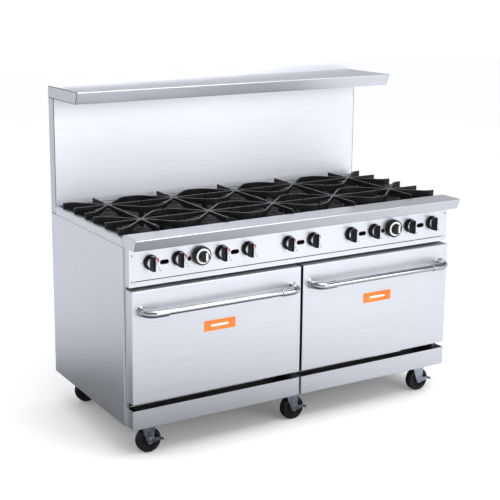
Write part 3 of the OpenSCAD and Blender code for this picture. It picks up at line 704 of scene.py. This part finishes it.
def screw_parts(radius, height):
    """A domed screw head with a cross sunk in it: the dome's height is h sqrt(1 - (r/R)^2)."""
    r = np.linspace(1, 0, 7)
    rise = 0.25 * height + 0.75 * height * np.sqrt(1 - r ** 2)
    dome = turned(np.vstack([[[radius, 0]], np.column_stack([radius * r, rise])]), 20)
    long, thin = radius * 0.55, radius * 0.13
    cross = joined(block((-long, -thin, height * 0.8), (long, thin, height * 1.03), 0.0001),
                   block((-thin, -long, height * 0.8), (thin, long, height * 1.03), 0.0001))
    return dome, cross


def screws(name, places, axes, radius, body, dome_finish="zinc", cross_finish="print"):
    """A group of like screws, one at each place."""
    dome, cross = screw_parts(radius, 0.002)
    parts = []
    for place in places:
        parts += [(placed(dome, place, axes), 0), (placed(cross, place, axes), 1)]
    return make_piece(name, parts, [MATERIALS[dome_finish], MATERIALS[cross_finish]], body)


# ---------------------------------------------------------------- operators


class RANGE_OT_finishes(bpy.types.Operator):
    """Makes every finish and lays it on the parts that keep their own shape"""
    bl_idname = "gas_range.finishes"
    bl_label = "Finishes"

    def execute(self, context):
        MATERIALS.update(build_materials())
        for finish, nodes in NODE_FINISH.items():
            for node in nodes:
                slots = frame["nodes"][node].data.materials
                slots.clear()
                slots.append(MATERIALS[finish])
        return {"FINISHED"}


class RANGE_OT_body_panels(bpy.types.Operator):
    """Builds the side panels, deck rails and kick plates as folded sheet"""
    bl_idname = "gas_range.body_panels"
    bl_label = "Body Panels"

    def execute(self, context):
        sheet = context.scene.gas_range.sheet
        low, high = node_box("side_panels")
        top = high[2] - sheet.joint
        for side, outer, inner in (("left", low[0], low[0] + sheet.flange),
                                   ("right", high[0], high[0] - sheet.flange)):
            corners = [(x, y, z) for z in (low[2], top) for y in (low[1], high[1]) for x in (outer, inner)]
            faces = [(0, 2, 6, 4), (0, 4, 5, 1), (2, 3, 7, 6), (0, 1, 3, 2)]
            if side == "left":
                faces = [face[::-1] for face in faces]
            folded_tray(f"side_skin_{side}", faces, corners, sheet.bend, sheet.thickness,
                        [MATERIALS["sheet_upright"]], "root", ["side_panels"])
        self.deck_rails(sheet)
        self.kick_plates(sheet)
        self.panel_seam(sheet)
        return {"FINISHED"}

    def deck_rails(self, sheet):
        """Angle rails: a wall and a ledge folded inwards, carried from the riser to the front ledge."""
        low, high = node_box("side_rails")
        t, parts = sheet.thickness, []
        for sign in (-1, 1):
            edge = high[0] - t / 2
            path = filleted([(edge, low[2]), (edge, high[2] - t / 2), (edge - 0.027, high[2] - t / 2),
                             (edge - 0.027, high[2] - 0.012)], sheet.bend, closed=False)
            outline = sheet_section(path, t) * (sign, 1)
            axes = np.array([[1.0, 0, 0], [0, 0, 1.0], [0, 1.0, 0]])
            parts.append((placed(prism(outline, low[1] + 0.0007, high[1] - 0.0007), (0, 0, 0), axes), 0))
            inner, outer = sorted((sign * (high[0] - 0.0276), sign * (high[0] - 0.0125)))
            strip = block((inner, low[1] + 0.001, high[2] - 0.001),
                          (outer, high[1] - 0.001, high[2] + 0.0004), 0.0003)
            parts.append((strip, 1))
        make_piece("deck_rails", parts, [MATERIALS["sheet_deep"], MATERIALS["black"]], "root",
                   ["side_rails"])

    def panel_seam(self, sheet):
        """Painted shade: dark strips in the joint over the crumb trays, and in those over the side panels,
        standing in for the shadow in these gaps.
        """
        front, (low, high) = node_box("control_panel")[0][1], node_box("crumb_tray_left")
        bottom, end = high[2] + 0.0005, -low[0]
        strip = block((-end, front - 0.0003, bottom), (end, front + 0.0008, bottom + 2 * sheet.joint), 0.0002)
        parts = [(strip, 0)]
        low, high = node_box("side_panels")
        for x in (low[0] + 0.0003, high[0] - 0.0013):
            parts.append((block((x, low[1] + 0.002, high[2] - 0.002),
                                (x + 0.001, high[1] - 0.002, high[2] + 0.0003), 0.0002), 0))
        make_piece("panel_seams", parts, [MATERIALS["sealant"]], "root")

    def kick_plates(self, sheet):
        """Channels under the doors, open at the top and behind."""
        low, high = node_box("kick_plates")
        gap = node_box("door_right_skin")[0][0]
        for side, x0, x1 in (("left", low[0], -gap), ("right", gap, high[0])):
            corners = [(x, y, z) for z in (low[2], high[2]) for y in (low[1], high[1]) for x in (x0, x1)]
            faces = [(0, 1, 5, 4), (2, 0, 4, 6), (1, 3, 7, 5), (0, 2, 3, 1)]
            folded_tray(f"kick_plate_{side}", faces, corners, sheet.bend * 0.7, sheet.thickness,
                        [MATERIALS["sheet_across"]], "root", ["kick_plates"])


class RANGE_OT_front_ledge(bpy.types.Operator):
    """Builds the folded nose over the controls, with a cap at each end"""
    bl_idname = "gas_range.front_ledge"
    bl_label = "Front Ledge"

    def execute(self, context):
        sheet = context.scene.gas_range.sheet
        low, high = node_box("front_ledge")
        t, lean = sheet.thickness, sheet.lean
        reach, top, bottom = high[1] - low[1], high[2], low[2]
        path = filleted([(t / 2, bottom), (t / 2, top - t / 2), (reach - t / 2, top - t / 2),
                         (reach - lean - t / 2, bottom + t / 2), (0.042, bottom + t / 2)],
                        [0.001, sheet.bend, sheet.bend * 1.4, sheet.bend, 0.001], closed=False)
        cap = filleted([(0.0006, bottom), (0.0006, top - 0.0006), (reach - 0.0012, top - 0.0006),
                        (reach - lean - 0.0012, bottom)][::-1], sheet.bend)
        end = high[0]
        nose = prism(sheet_section(path, t), -end + t + 0.0006, end - t - 0.0006)
        caps = [prism(cap, end - t, end, 0.0004, 2), prism(cap, -end, t - end, 0.0004, 2)]
        parts = [(placed(shape, (0, high[1], 0), ACROSS), 0) for shape in [nose] + caps]
        make_piece("ledge_nose", parts, [MATERIALS["sheet_ledge"]], "root", ["front_ledge"])
        return {"FINISHED"}


class RANGE_OT_riser_and_shelf(bpy.types.Operator):
    """Builds the riser with its front sheet and rear louvres, and the overhead shelf"""
    bl_idname = "gas_range.riser_and_shelf"
    bl_label = "Riser and Shelf"

    def execute(self, context):
        sheet = context.scene.gas_range.sheet
        self.riser(sheet)
        self.shelf(sheet)
        return {"FINISHED"}

    def riser(self, sheet):
        """A case with a rounded plan, a thin front sheet in it, a foot strip, and pressed louvres behind."""
        low, high = node_box("riser")
        depth = 0.049
        front, face_top = high[1] - depth, high[2] - 0.048
        width, foot_top = high[0] - low[0], 0.862
        middle, cap = (0, high[1] - (depth - 0.001) / 2), high[2] - 0.0485
        case = prism(rounded_rectangle(width, depth - 0.001, sheet.bend, 5) + middle,
                     low[2] + sheet.joint, cap, 0.0008, 2)
        crown = prism(rounded_rectangle(width - 0.005, depth - 0.001, sheet.bend, 5) + middle, cap, high[2])
        face = block((low[0] + 0.0045, front, foot_top), (high[0] - 0.0045, front + 0.0014, face_top), 0.0005)
        foot = block((low[0] + 0.03, low[1], low[2]), (high[0] - 0.03, front + 0.002, foot_top), 0.002)
        # Painted shade: dark strips in the steps at the front sheet's sides and along its foot.
        strips = [block((x - 0.0012, front + 0.0006, foot_top), (x + 0.0012, front + 0.002, face_top), 0.0002)
                  for x in (low[0] + 0.0035, high[0] - 0.0035)]
        strips.append(block((low[0] + 0.03, front - 0.0008, foot_top),
                            (high[0] - 0.03, front + 0.001, foot_top + 0.0025), 0.0003))
        louvre = self.louvre(0.22, 0.018, 0.006)
        hood = joined(*[placed(louvre, (x, high[1] - 0.0005, high[2] - 0.059 - 0.03 * row))
                        for x in np.linspace(-0.6, 0.6, 5) for row in range(2)])
        # The case, crown and louvres wear the darker steel: painted shade.
        parts = [(case, 2), (crown, 2), (face, 0), (foot, 0), (hood, 2)] + [(strip, 1) for strip in strips]
        make_piece("riser_case", parts, [MATERIALS["sheet_riser"], MATERIALS["sealant"], MATERIALS["sheet_case"]],
                   "root", ["riser"])

    def louvre(self, width, height, rise):
        """A pressed hood: its face stands out by rise * (1 - |x|^6) * (1 - z)^0.7, and closes behind."""
        u, v = np.meshgrid(np.linspace(-1, 1, 17), np.linspace(0, 1, 7), indexing="ij")
        out = rise * (1 - np.abs(u) ** 6) * (1 - v) ** 0.7
        front = np.stack([u * width / 2, out, v * height - height / 2], axis=-1)
        back = front * (1, 0, 1) - (0, 0.0005, 0)
        return joined(quads(front), quads(back[::-1]), quads(np.stack([front[:, 0], back[:, 0]])))

    def shelf(self, sheet):
        """Upstand, top and leaning lip folded from one sheet, with a cap at each end and a stiffener under it."""
        low, high = node_box("overhead_shelf")
        t, lean = sheet.thickness, sheet.lean
        reach, bottom, top = high[1] - low[1], low[2], high[2] - sheet.upstand
        path = filleted([(t / 2, high[2]), (t / 2, top - t / 2), (reach - t / 2, top - t / 2),
                         (reach - lean - t / 2, bottom + t / 2), (reach - lean - 0.02, bottom + t / 2)],
                        [0.001, 0.0012, sheet.bend * 1.2, sheet.bend, 0.001], closed=False)
        corners = np.array([(0.0005, bottom), (0.0005, top), (reach, top), (reach - lean, bottom)][::-1])
        edge, cap = filleted(corners, sheet.bend * 0.8), filleted(offset(corners, 0.0022, True), 0.001)
        end = high[0]
        pan = prism(sheet_section(path, t), t + 0.0006 - end, end - t - 0.0006)
        caps = [prism(cap, end - t, end, 0.0004, 2), prism(cap, -end, t - end, 0.0004, 2)]
        # Painted shade: dark strips in the joints between the pan and its end caps.
        joints = [prism(edge, end - t, end - 0.0005), prism(edge, 0.0005 - end, t - end)]
        hat = filleted([(0.13, top - t), (0.15, top - t), (0.155, top - 0.018), (0.195, top - 0.018),
                        (0.2, top - t), (0.22, top - t)], 0.002, closed=False)
        stiffener = prism(sheet_section(hat - (0, t / 2), t), 0.01 - end, end - 0.01)
        # The end caps wear the darker steel: painted shade.
        parts = [(placed(shape, (0, high[1], 0), ACROSS), number) for shape, number in
                 [(pan, 0), (stiffener, 0)] + [(shape, 1) for shape in caps] + [(shape, 2) for shape in joints]]
        make_piece("shelf_pan", parts, [MATERIALS["sheet_across"], MATERIALS["sheet_case"], MATERIALS["sealant"]],
                   "root", ["overhead_shelf"])


class RANGE_OT_doors(bpy.types.Operator):
    """Builds the door skins, tubular handles, plates, top screws and oven gaskets"""
    bl_idname = "gas_range.doors"
    bl_label = "Oven Doors"

    def execute(self, context):
        for side in SIDES:
            self.skin(side, context.scene.gas_range.sheet)
            self.handle(side)
            self.plate(side)
            self.gasket(side)
        return {"FINISHED"}

    def skin(self, side, sheet):
        """A folded pan with its mouth to the oven and only a short hem along its bottom."""
        low, high = node_box(f"door_{side}_skin")
        top, hem = high[2] - 0.002, low[1] + 0.008
        corners = [(low[0], low[1], low[2]), (high[0], low[1], low[2]), (high[0], low[1], top),
                   (low[0], low[1], top), (low[0], hem, low[2]), (high[0], hem, low[2]),
                   (high[0], high[1], low[2]), (high[0], high[1], top), (low[0], high[1], top),
                   (low[0], high[1], low[2])]
        faces = [(0, 1, 2, 3), (0, 4, 5, 1), (1, 5, 6, 7, 2), (3, 2, 7, 8), (0, 3, 8, 9, 4)]
        # The top face wears the darker steel: painted shade in the crevice under the control panel.
        folded_tray(f"door_{side}_shell", faces, corners, sheet.bend, sheet.thickness,
                    [MATERIALS["sheet_across"], MATERIALS["sheet_hem"], MATERIALS["sealant"]], f"door_{side}",
                    # The side facing the other door wears the dark strip material: painted shade in the gap.
                    [f"door_{side}_skin"], ((3, 1), (2 if side == "left" else 4, 2)))
        middle = (low[0] + high[0]) / 2
        screws(f"door_{side}_screws", [(middle + x, low[1] + 0.032, top) for x in (-0.33, 0, 0.33)],
               UPRIGHT, 0.004, f"door_{side}")

    def handle(self, side):
        low, high = node_box(f"door_{side}_handle")
        elbow = (high[2] - low[2]) / 2
        half, reach = (high[0] - low[0]) / 2 - elbow, high[1] - low[1] - elbow
        bar = handle_surface(half, reach, elbow, 0.0125, 0.04, 0.047)
        foot = turned([(0, 0), (elbow + 0.003, 0), (elbow + 0.003, 0.0015), (elbow + 0.001, 0.003),
                       (0, 0.003)], 40)
        middle = ((low[0] + high[0]) / 2, high[1], (low[2] + high[2]) / 2)
        parts = [(placed(bar, middle, PLAN_FORWARD), 0)]
        parts += [(placed(foot, np.add(middle, (x, 0, 0)), FACING_FRONT), 0) for x in (-half, half)]
        make_piece(f"door_{side}_bar", parts, [MATERIALS["chrome"]], f"door_{side}",
                   [f"door_{side}_handle"])

    def plate(self, side):
        """A plain plate with rounded corners and a blank raised bar."""
        low, high = node_box(f"door_{side}_plate")
        size = high - low
        panel = prism(rounded_rectangle(size[0], size[2], 0.0015, 4), 0, size[1], 0.0004, 2)
        bar_outline = rounded_rectangle(size[0] * 0.56, size[2] * 0.2, size[2] * 0.09, 6)
        bar = prism(bar_outline, 0, size[1] + 0.0003, 0.0002, 2)
        origin = ((low[0] + high[0]) / 2, high[1], (low[2] + high[2]) / 2)
        parts = [(placed(panel, origin, FACING_FRONT), 0), (placed(bar, origin, FACING_FRONT), 1)]
        make_piece(f"door_{side}_label", parts, [MATERIALS["orange"], MATERIALS["white"]], f"door_{side}",
                   [f"door_{side}_plate"])

    def gasket(self, side):
        """A flat rope seal round the oven mouth."""
        low, high = node_box("oven_boxes")
        front = node_box("oven_front_frame")[1][1] - 0.002
        middle = np.mean(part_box(f"door_{side}_skin"), axis=0)[0]
        width = 2 * (high[0] - abs(middle))
        path = rounded_rectangle(width + 0.014, high[2] - low[2] + 0.014, 0.02, 8)
        ring = swept(path, rounded_rectangle(0.011, 0.0016, 0.0007, 3) + (0, 0.0009), True)
        origin = (middle, front, (low[2] + high[2]) / 2)
        make_piece(f"oven_gasket_{side}", [(placed(ring, origin, FACING_FRONT), 0)], [MATERIALS["gasket"]],
                   "root")


class RANGE_OT_grates(bpy.types.Operator):
    """Builds the ten cast grates"""
    bl_idname = "gas_range.grates"
    bl_label = "Grates"

    def execute(self, context):
        low, high = node_box("grates")
        gap, columns = 0.003, 5
        pitch = (high[0] - low[0] + gap) / columns
        half = (pitch - gap) / 2
        # The faces at the ribs' tops wear the paler iron: painted highlight.
        highlit_tops, sides = by_height(grate_surface(half, high[2] - low[2], context.scene.gas_range.grate), -0.0015)
        places = [(low[0] + half + pitch * i, y) for i in range(columns) for y in (high[1] - half, low[1] + half)]
        for number, (x, y) in enumerate(places, 1):
            place = (x, y, high[2])
            make_piece(f"grate_{number}", [(placed(sides, place), 0), (placed(highlit_tops, place), 1)],
                       [MATERIALS["grate_iron"], MATERIALS["rubbed_iron"]], "root", ["grates"], 50)
        return {"FINISHED"}


class RANGE_OT_burner_heads(bpy.types.Operator):
    """Builds the ten burner heads with their ported caps"""
    bl_idname = "gas_range.burner_heads"
    bl_label = "Burner Heads"

    def execute(self, context):
        low, high = node_box("burner_heads")
        radius, columns = 0.044, 5
        bowl, cap = burner_parts(high[2] - low[2])
        xs = np.linspace(low[0] + radius, high[0] - radius, columns)
        places = [(x, y, low[2]) for x in xs for y in (high[1] - radius, low[1] + radius)]
        for number, place in enumerate(places, 1):
            make_piece(f"burner_head_{number}", [(placed(bowl, place), 0), (placed(cap, place), 0)],
                       [MATERIALS["burner_iron"]], "root", ["burner_heads"])
        return {"FINISHED"}


class RANGE_OT_knobs(bpy.types.Operator):
    """Builds the burner knobs, thermostat dials and the printed marks beside them"""
    bl_idname = "gas_range.knobs"
    bl_label = "Knobs and Dials"

    def execute(self, context):
        sizes = context.scene.gas_range.knob
        marks = []
        for number in range(1, 11):
            origin = self.origin(f"knob_{number}")
            self.knob(number, origin, sizes)
            marks += self.marks(number, origin)
        for side in SIDES:
            self.dial(side, self.origin(f"thermostat_dial_{side}"), sizes)
        make_piece("panel_marks", marks, [MATERIALS["print"], MATERIALS["red"]], "root")
        return {"FINISHED"}

    def origin(self, name):
        """The point on the control's axis at the back of its skirt."""
        x, _, z = JOINTS[f"{name}_turn"]["pos_m"]
        return np.array([x, node_box(name)[1][1], z])

    def knob(self, number, origin, sizes):
        """A stepped skirt, a bright cap and a ridged grip across it."""
        r, cap = sizes.skirt, sizes.cap
        skirt = turned([(0, 0), (r, 0), (r, 0.0045), (r - 0.001, 0.0065), (r - 0.003, 0.0078),
                        (r - 0.004, 0.0095), (r - 0.005, 0.0125), (cap + 0.0005, 0.0145),
                        (cap + 0.0003, 0.0155), (0, 0.0155)], 56)
        disc = turned([(0, 0.015), (cap, 0.015), (cap, 0.0178), (cap - 0.0012, 0.0192), (0, 0.0196)], 56)
        blade = blade_surface(sizes.blade_low, sizes.blade_high)
        body = f"knob_{number}"
        parts = [(placed(skirt, origin, FACING_FRONT), 0), (placed(blade, origin, PLAN_FORWARD), 1)]
        make_piece(f"{body}_grip", parts, [MATERIALS["knob"], MATERIALS["grip"]], body, [body])
        make_piece(f"{body}_cap", [(placed(disc, origin, FACING_FRONT), 0)], [MATERIALS["chrome"]], body)

    def marks(self, number, origin):
        """Off, high and low marks on the panel: a red lens at the right, ticks below it and a dot at the left."""
        face = node_box("control_panel")[0][1]
        spot = np.array([origin[0], face, origin[2]])
        thin = 0.00025
        lens = prism(circle(1.0, 20) * (0.0042, 0.0085), 0, thin)
        dot = prism(circle(0.0022, 14), 0, thin)
        dash = prism(rounded_rectangle(0.013, 0.0018, 0.0008, 3), 0, thin)
        marks = [(placed(lens, spot + (0.0335, 0, 0.003), FACING_FRONT), 1),
                 (placed(dot, spot + (0.035, 0, -0.025), FACING_FRONT), 0),
                 (placed(spun(dash, math.radians(-42)), spot + (0.041, 0, -0.037), FACING_FRONT), 0)]
        if number % 2:
            marks.append((placed(dot, spot + (-0.035, 0, -0.001), FACING_FRONT), 0))
        return marks

    def dial(self, side, origin, sizes):
        """A fluted drum, a pale ring with ticks on its face, and a small knob with a pale bar."""
        r, grip = sizes.drum, sizes.grip
        drum = turned([(0, 0), (r - 0.0015, 0), (r, 0.002), (r, 0.0205), (r - 0.001, 0.0225), (0, 0.0225)],
                      240, 60, 0.02)
        knob = turned([(0, 0.022), (grip, 0.022), (grip, 0.0365), (grip - 0.0015, 0.039), (0, 0.039)],
                      128, 32, 0.02)
        bar = block((0.003, -0.0155, 0.037), (0.011, 0.0155, 0.0405), 0.0006)
        ring = swept(circle(r - 0.0105, 72), rounded_rectangle(0.0078, 0.0024, 0.0009, 3) + (0, 0.0236), True)
        tick = placed(block((-0.0004, 0, 0.0247), (0.0004, 0.003, 0.0251), 0.00005), (0, r - 0.0098, 0))
        ticks = [spun(tick, math.radians(a)) for a in range(-150, 151, 25)]
        body = f"thermostat_dial_{side}"
        parts = [(placed(shape, origin, FACING_FRONT), number)
                 for shape, number in [(drum, 0), (knob, 0), (bar, 1), (ring, 1)] + [(t, 2) for t in ticks]]
        make_piece(f"thermostat_{side}", parts, [MATERIALS["knob"], MATERIALS["white"], MATERIALS["print"]],
                   body, [body])


class RANGE_OT_casters(bpy.types.Operator):
    """Builds the caster forks, wheels and brake pedals"""
    bl_idname = "gas_range.casters"
    bl_label = "Casters"

    def execute(self, context):
        sizes = context.scene.gas_range.caster
        for number in range(1, 7):
            swivel = np.array(JOINTS[f"caster_swivel_{number}"]["pos_m"])
            axle = np.array(JOINTS[f"caster_roll_{number}"]["pos_m"])
            self.fork(number, swivel, axle, sizes)
            self.wheel(number, axle, sizes)
            if number <= 3:
                self.pedal(number, axle)
        return {"FINISHED"}

    def fork(self, number, swivel, axle, sizes):
        """Two-cup race, crown and two raked legs, with a bolt head and nut on the axle."""
        x, y = swivel[:2]
        trail, radius, reach = axle[0] - x, axle[2], 0.021
        race = turned([(0, 0.1257), (0.029, 0.1257), (0.031, 0.124), (0.031, 0.1215), (0.0275, 0.1195),
                       (0.031, 0.1175), (0.031, 0.1145), (0.027, 0.112), (0, 0.112)], 48)
        crown = prism(rounded_rectangle(0.058, 2 * reach, 0.008, 5) + (0.003, 0), 0.106, 0.1122, 0.0015, 2)
        leg = filleted([(-0.026, 0.112), (-0.006, radius + 0.002), (0.002, radius - 0.013),
                        (0.018, radius - 0.013), (0.026, radius - 0.003), (0.032, 0.112)], 0.004)
        head = prism(circle(0.0085, 6), 0, 0.0037, 0.0006, 2)
        washer = turned([(0, 0), (0.0088, 0), (0.0088, 0.0009), (0, 0.0009)], 32)
        parts = [(placed(race, (x, y, 0)), 0), (placed(crown, (x, y, 0)), 0)]
        inside = reach - sizes.leg
        for facing in (-1, 1):
            axes = np.array([[1.0, 0, 0], [0, 0, 1.0], [0, facing * 1.0, 0]])
            side = y + facing * reach
            parts.append((placed(prism(leg, inside, reach, 0.0008, 2), (x, y, 0), axes), 0))
            parts.append((placed(washer, (x + trail, side, radius), axes), 0))
            parts.append((placed(head, (x + trail, side + facing * 0.0002, radius), axes), 0))
        make_piece(f"fork_{number}", parts, [MATERIALS["zinc"]], f"caster_fork_{number}",
                   [f"caster_fork_{number}"])

    def wheel(self, number, axle, sizes):
        """A crowned tyre on a webbed hub, both turned about the axle."""
        radius, half = axle[2], 0.016
        rim = radius - sizes.tyre
        tyre_side = [(rim, half - 0.002), (rim + 0.0015, half), (radius - 0.004, half),
                     (radius - 0.0012, half - 0.002), (radius, half - 0.007)]
        hub_side = [(0.0052, 0.0176), (0.011, 0.0176), (0.0125, 0.0165), (0.0135, 0.008), (rim - 0.006, 0.0065),
                    (rim - 0.0035, half - 0.003), (rim, half - 0.0025)]
        tyre, hub = [turned(side + [(r, -h) for r, h in side[::-1]] + side[:1], steps)
                     for side, steps in ((tyre_side, 72), (hub_side, 48))]
        parts = [(placed(tyre, axle, FACING_FRONT), 0), (placed(hub, axle, FACING_FRONT), 1)]
        make_piece(f"wheel_{number}", parts, [MATERIALS["tyre"], MATERIALS["hub"]], f"caster_wheel_{number}",
                   [f"caster_wheel_{number}"])

    def pedal(self, number, axle):
        """A ring round the axle nut, an arm that tapers to the side and a ribbed foot tab bent outwards."""
        low, high = node_box(f"brake_pedal_{number}")
        x, z, reach = axle[0], axle[2], high[0] - axle[0]
        thick, side = 0.003, high[1]
        ring = swept(circle(0.0116, 40), rounded_rectangle(0.0046, thick, 0.0006, 2) + (0, thick / 2), True)
        arm = filleted([(0.0112, -0.0095), (reach - 0.001, -0.0018), (reach, 0.0078), (0.0112, 0.0108)], 0.0015)
        tab_outline = rounded_rectangle(0.0028, 0.0098, 0.0012, 3) + (reach - 0.0015, 0.003)
        tab = prism(tab_outline, 0.0005, high[1] - low[1], 0.0005, 2)
        ribs = [block((reach - 0.0034, -0.001, d), (reach - 0.0026, 0.007, d + 0.0014), 0.0003)
                for d in (0.006, 0.009, 0.012)]
        shapes = [ring, prism(arm, 0, thick, 0.0006, 2), tab] + ribs
        make_piece(f"pedal_{number}", [(placed(shape, (x, side, z), FACING_FRONT), 0) for shape in shapes],
                   [MATERIALS["zinc"]], f"brake_pedal_{number}", [f"brake_pedal_{number}"])


class RANGE_OT_fasteners(bpy.types.Operator):
    """Builds the screws on the panel and riser, and the caster bolts"""
    bl_idname = "gas_range.fasteners"
    bl_label = "Fasteners"

    def execute(self, context):
        low, high = node_box("control_panel")
        riser_front = node_box("riser")[1][1] - 0.049
        panel = [(s * (high[0] - 0.0114), low[1], z) for s in (-1, 1) for z in (low[2] + 0.022, high[2] - 0.028)]
        riser = [(s * 0.75, riser_front, z) for s in (-1, 1) for z in (0.891, 1.071, 1.251)]
        screws("panel_screws", panel, FACING_FRONT, 0.0042, "root")
        heads = screws("riser_screws", riser, FACING_FRONT, 0.0042, "root", "sheet_riser", "zinc")
        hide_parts("fasteners")
        bolt = prism(circle(0.0065, 6), -0.005, 0, 0.0006, 2)
        parts = []
        for number in range(1, 7):
            x, y, z = JOINTS[f"caster_swivel_{number}"]["pos_m"]
            parts += [(placed(bolt, (x + u, y + v, z)), 0) for u in (-0.036, 0.036) for v in (-0.036, 0.036)]
        make_piece("caster_bolts", parts, [MATERIALS["zinc"]], "root")
        return {"FINISHED"}


class RANGE_OT_studio(bpy.types.Operator):
    """Sets a pale floor, soft lights, white surroundings and the camera"""
    bl_idname = "gas_range.studio"
    bl_label = "Studio"

    def execute(self, context):
        studio = context.scene.gas_range.studio
        bpy.context.scene.view_settings.view_transform = "Standard"
        self.floor()
        self.surroundings(studio.room)
        self.lights()
        self.camera(studio)
        return {"FINISHED"}

    def floor(self):
        """White floor, with painted shade: what the metal mirrors of it is darker towards the range, and what is
        seen of it a little darker near the range.
        """
        reach = 14.0
        mesh = bpy.data.meshes.new("studio_floor")
        mesh.from_pydata([(-reach, -reach, -0.0005), (reach, -reach, -0.0005), (reach, reach, -0.0005),
                          (-reach, reach, -0.0005)], [], [(0, 1, 2, 3)])
        shader = Shader("Studio floor", Roughness=0.9, Specular_IOR_Level=0.0)
        tree = shader.tree
        place = shader.stretched((0.72, 1.0, 1.0), (0.36, 0, 0))
        away = add_node(tree, "VectorMath", sources={0: place}, operation="LENGTH").outputs["Value"]
        # Painted shade in reflections: the mirrored floor runs from near black at the range to white far off.
        mirrored = self.ramp(tree, away, ((0.0, 0.02), (0.115, 0.04), (0.155, 0.45), (0.26, 0.8), (0.7, 0.97),
                                          (1.0, 1.0)), 6.0)
        # Painted shade: the floor as seen is a little darker near the range.
        seen = self.ramp(tree, away, ((0.0, 0.97), (0.2, 0.98), (0.5, 1.0)), 6.0, 0.0)
        glossy = add_node(tree, "LightPath").outputs["Is Glossy Ray"]
        tone = add_node(tree, "Mix", sources={0: glossy, 6: seen, 7: mirrored}, data_type="RGBA").outputs[2]
        tree.links.new(tone, shader.surface.inputs["Base Color"])
        tree.links.new(shader.band(glossy, 0.1, 0, 0, 1), shader.surface.inputs["Emission Strength"])
        mesh.materials.append(shader.material)
        floor = bpy.data.objects.new("studio_floor", mesh)
        bpy.context.scene.collection.objects.link(floor)

    def ramp(self, tree, value, stops, span, blue=0.025):
        """A faintly blue grey that passes through the stops as the value goes from 0 to the span."""
        scale = add_node(tree, "MapRange", {"From Max": span}, {"Value": value})
        node = add_node(tree, "ValToRGB", sources={"Fac": scale.outputs["Result"]})
        while len(node.color_ramp.elements) < len(stops):
            node.color_ramp.elements.new(0.5)
        for element, (place, tone) in zip(node.color_ramp.elements, stops):
            element.position, element.color = place, (tone * (1 - blue), tone, tone * (1 + blue), 1)
        return node.outputs["Color"]

    def surroundings(self, strength):
        """Even white light, with a dim band between the horizon and the ceiling for the metal to mirror."""
        world = bpy.data.worlds.new("Studio white")
        world.use_nodes = True
        tree = world.node_tree
        background = tree.nodes["Background"]
        background.inputs["Strength"].default_value = strength
        towards = add_node(tree, "TexCoord").outputs["Generated"]
        height = add_node(tree, "SeparateXYZ", sources={0: towards}).outputs["Z"]
        mirrored = self.ramp(tree, height, ((0.0, 0.9), (0.1, 0.8), (0.28, 0.6), (0.5, 0.16), (0.72, 0.25),
                                            (0.85, 1.0)), 1.0)
        ray = add_node(tree, "LightPath").outputs
        backdrop = add_node(tree, "Mix", {6: (0.97, 0.985, 1.0, 1), 7: (1.25, 1.25, 1.25, 1)},
                            {0: ray["Is Camera Ray"]}, data_type="RGBA").outputs[2]
        mix = add_node(tree, "Mix", sources={0: ray["Is Glossy Ray"], 6: backdrop, 7: mirrored}, data_type="RGBA")
        tree.links.new(mix.outputs[2], background.inputs["Color"])
        bpy.context.scene.world = world

    def lights(self):
        """Soft boxes: name, centre, aim, width, height, watts."""
        for name, place, aim, width, height, watts in (
            ("Overhead box", (0.3, -0.6, 3.6), (0, 0, 0.8), 3.6, 2.6, 40),
            ("Front box", (1.9, -4.4, 1.5), (0.15, 0, 0.9), 3.2, 2.2, 62),
            ("Left box", (-2.8, 1.1, 2.4), (-0.76, 0.5, 0.9), 1.6, 1.2, 6),
            ("Riser wash", (0.1, -1.3, 1.75), (0.1, 0.35, 1.05), 1.2, 0.5, 9),
        ):
            data = bpy.data.lights.new(name, "AREA")
            data.shape = "RECTANGLE"
            data.size, data.size_y, data.energy = width, height, watts
            lamp = bpy.data.objects.new(name, data)
            direction = np.subtract(aim, place)
            flat = math.hypot(direction[0], direction[1])
            lamp.location = place
            lamp.visible_camera = False
            lamp.rotation_euler = (math.atan2(flat, -direction[2]), 0, math.atan2(-direction[0], direction[1]))
            bpy.context.scene.collection.objects.link(lamp)

    def camera(self, studio):
        data = bpy.data.cameras.new("Camera")
        data.lens, data.sensor_width = studio.lens, 36.0
        data.shift_x, data.shift_y = studio.shift_x, studio.shift_y
        camera = bpy.data.objects.new("Camera", data)
        camera.location = studio.place
        camera.rotation_euler = Euler((math.pi / 2 - studio.tilt, 0, -studio.turn), "XYZ")
        bpy.context.scene.collection.objects.link(camera)
        bpy.context.scene.camera = camera


STEPS = (RANGE_OT_finishes, RANGE_OT_body_panels, RANGE_OT_front_ledge, RANGE_OT_riser_and_shelf, RANGE_OT_doors,
         RANGE_OT_grates, RANGE_OT_burner_heads, RANGE_OT_knobs, RANGE_OT_casters, RANGE_OT_fasteners,
         RANGE_OT_studio)


class RANGE_PT_panel(bpy.types.Panel):
    """Lists the steps in the order they run"""
    bl_idname = "RANGE_PT_panel"
    bl_label = "Commercial Gas Range"
    bl_space_type = "VIEW_3D"
    bl_region_type = "UI"
    bl_category = "Range"

    def draw(self, context):
        for step in STEPS:
            self.layout.operator(step.bl_idname, text=step.bl_label)


CLASSES = (FinishColours, SheetSizes, GrateSizes, KnobSizes, CasterSizes, StudioSettings, RangeSettings,
           *STEPS, RANGE_PT_panel)


def register():
    for cls in CLASSES:
        bpy.utils.register_class(cls)
    bpy.types.Scene.gas_range = PointerProperty(type=RangeSettings)


def unregister():
    del bpy.types.Scene.gas_range
    for cls in reversed(CLASSES):
        bpy.utils.unregister_class(cls)


def main():
    register()
    for step in STEPS:
        group, name = step.bl_idname.split(".")
        getattr(getattr(bpy.ops, group), name)()


if __name__ == "__main__":
    main()
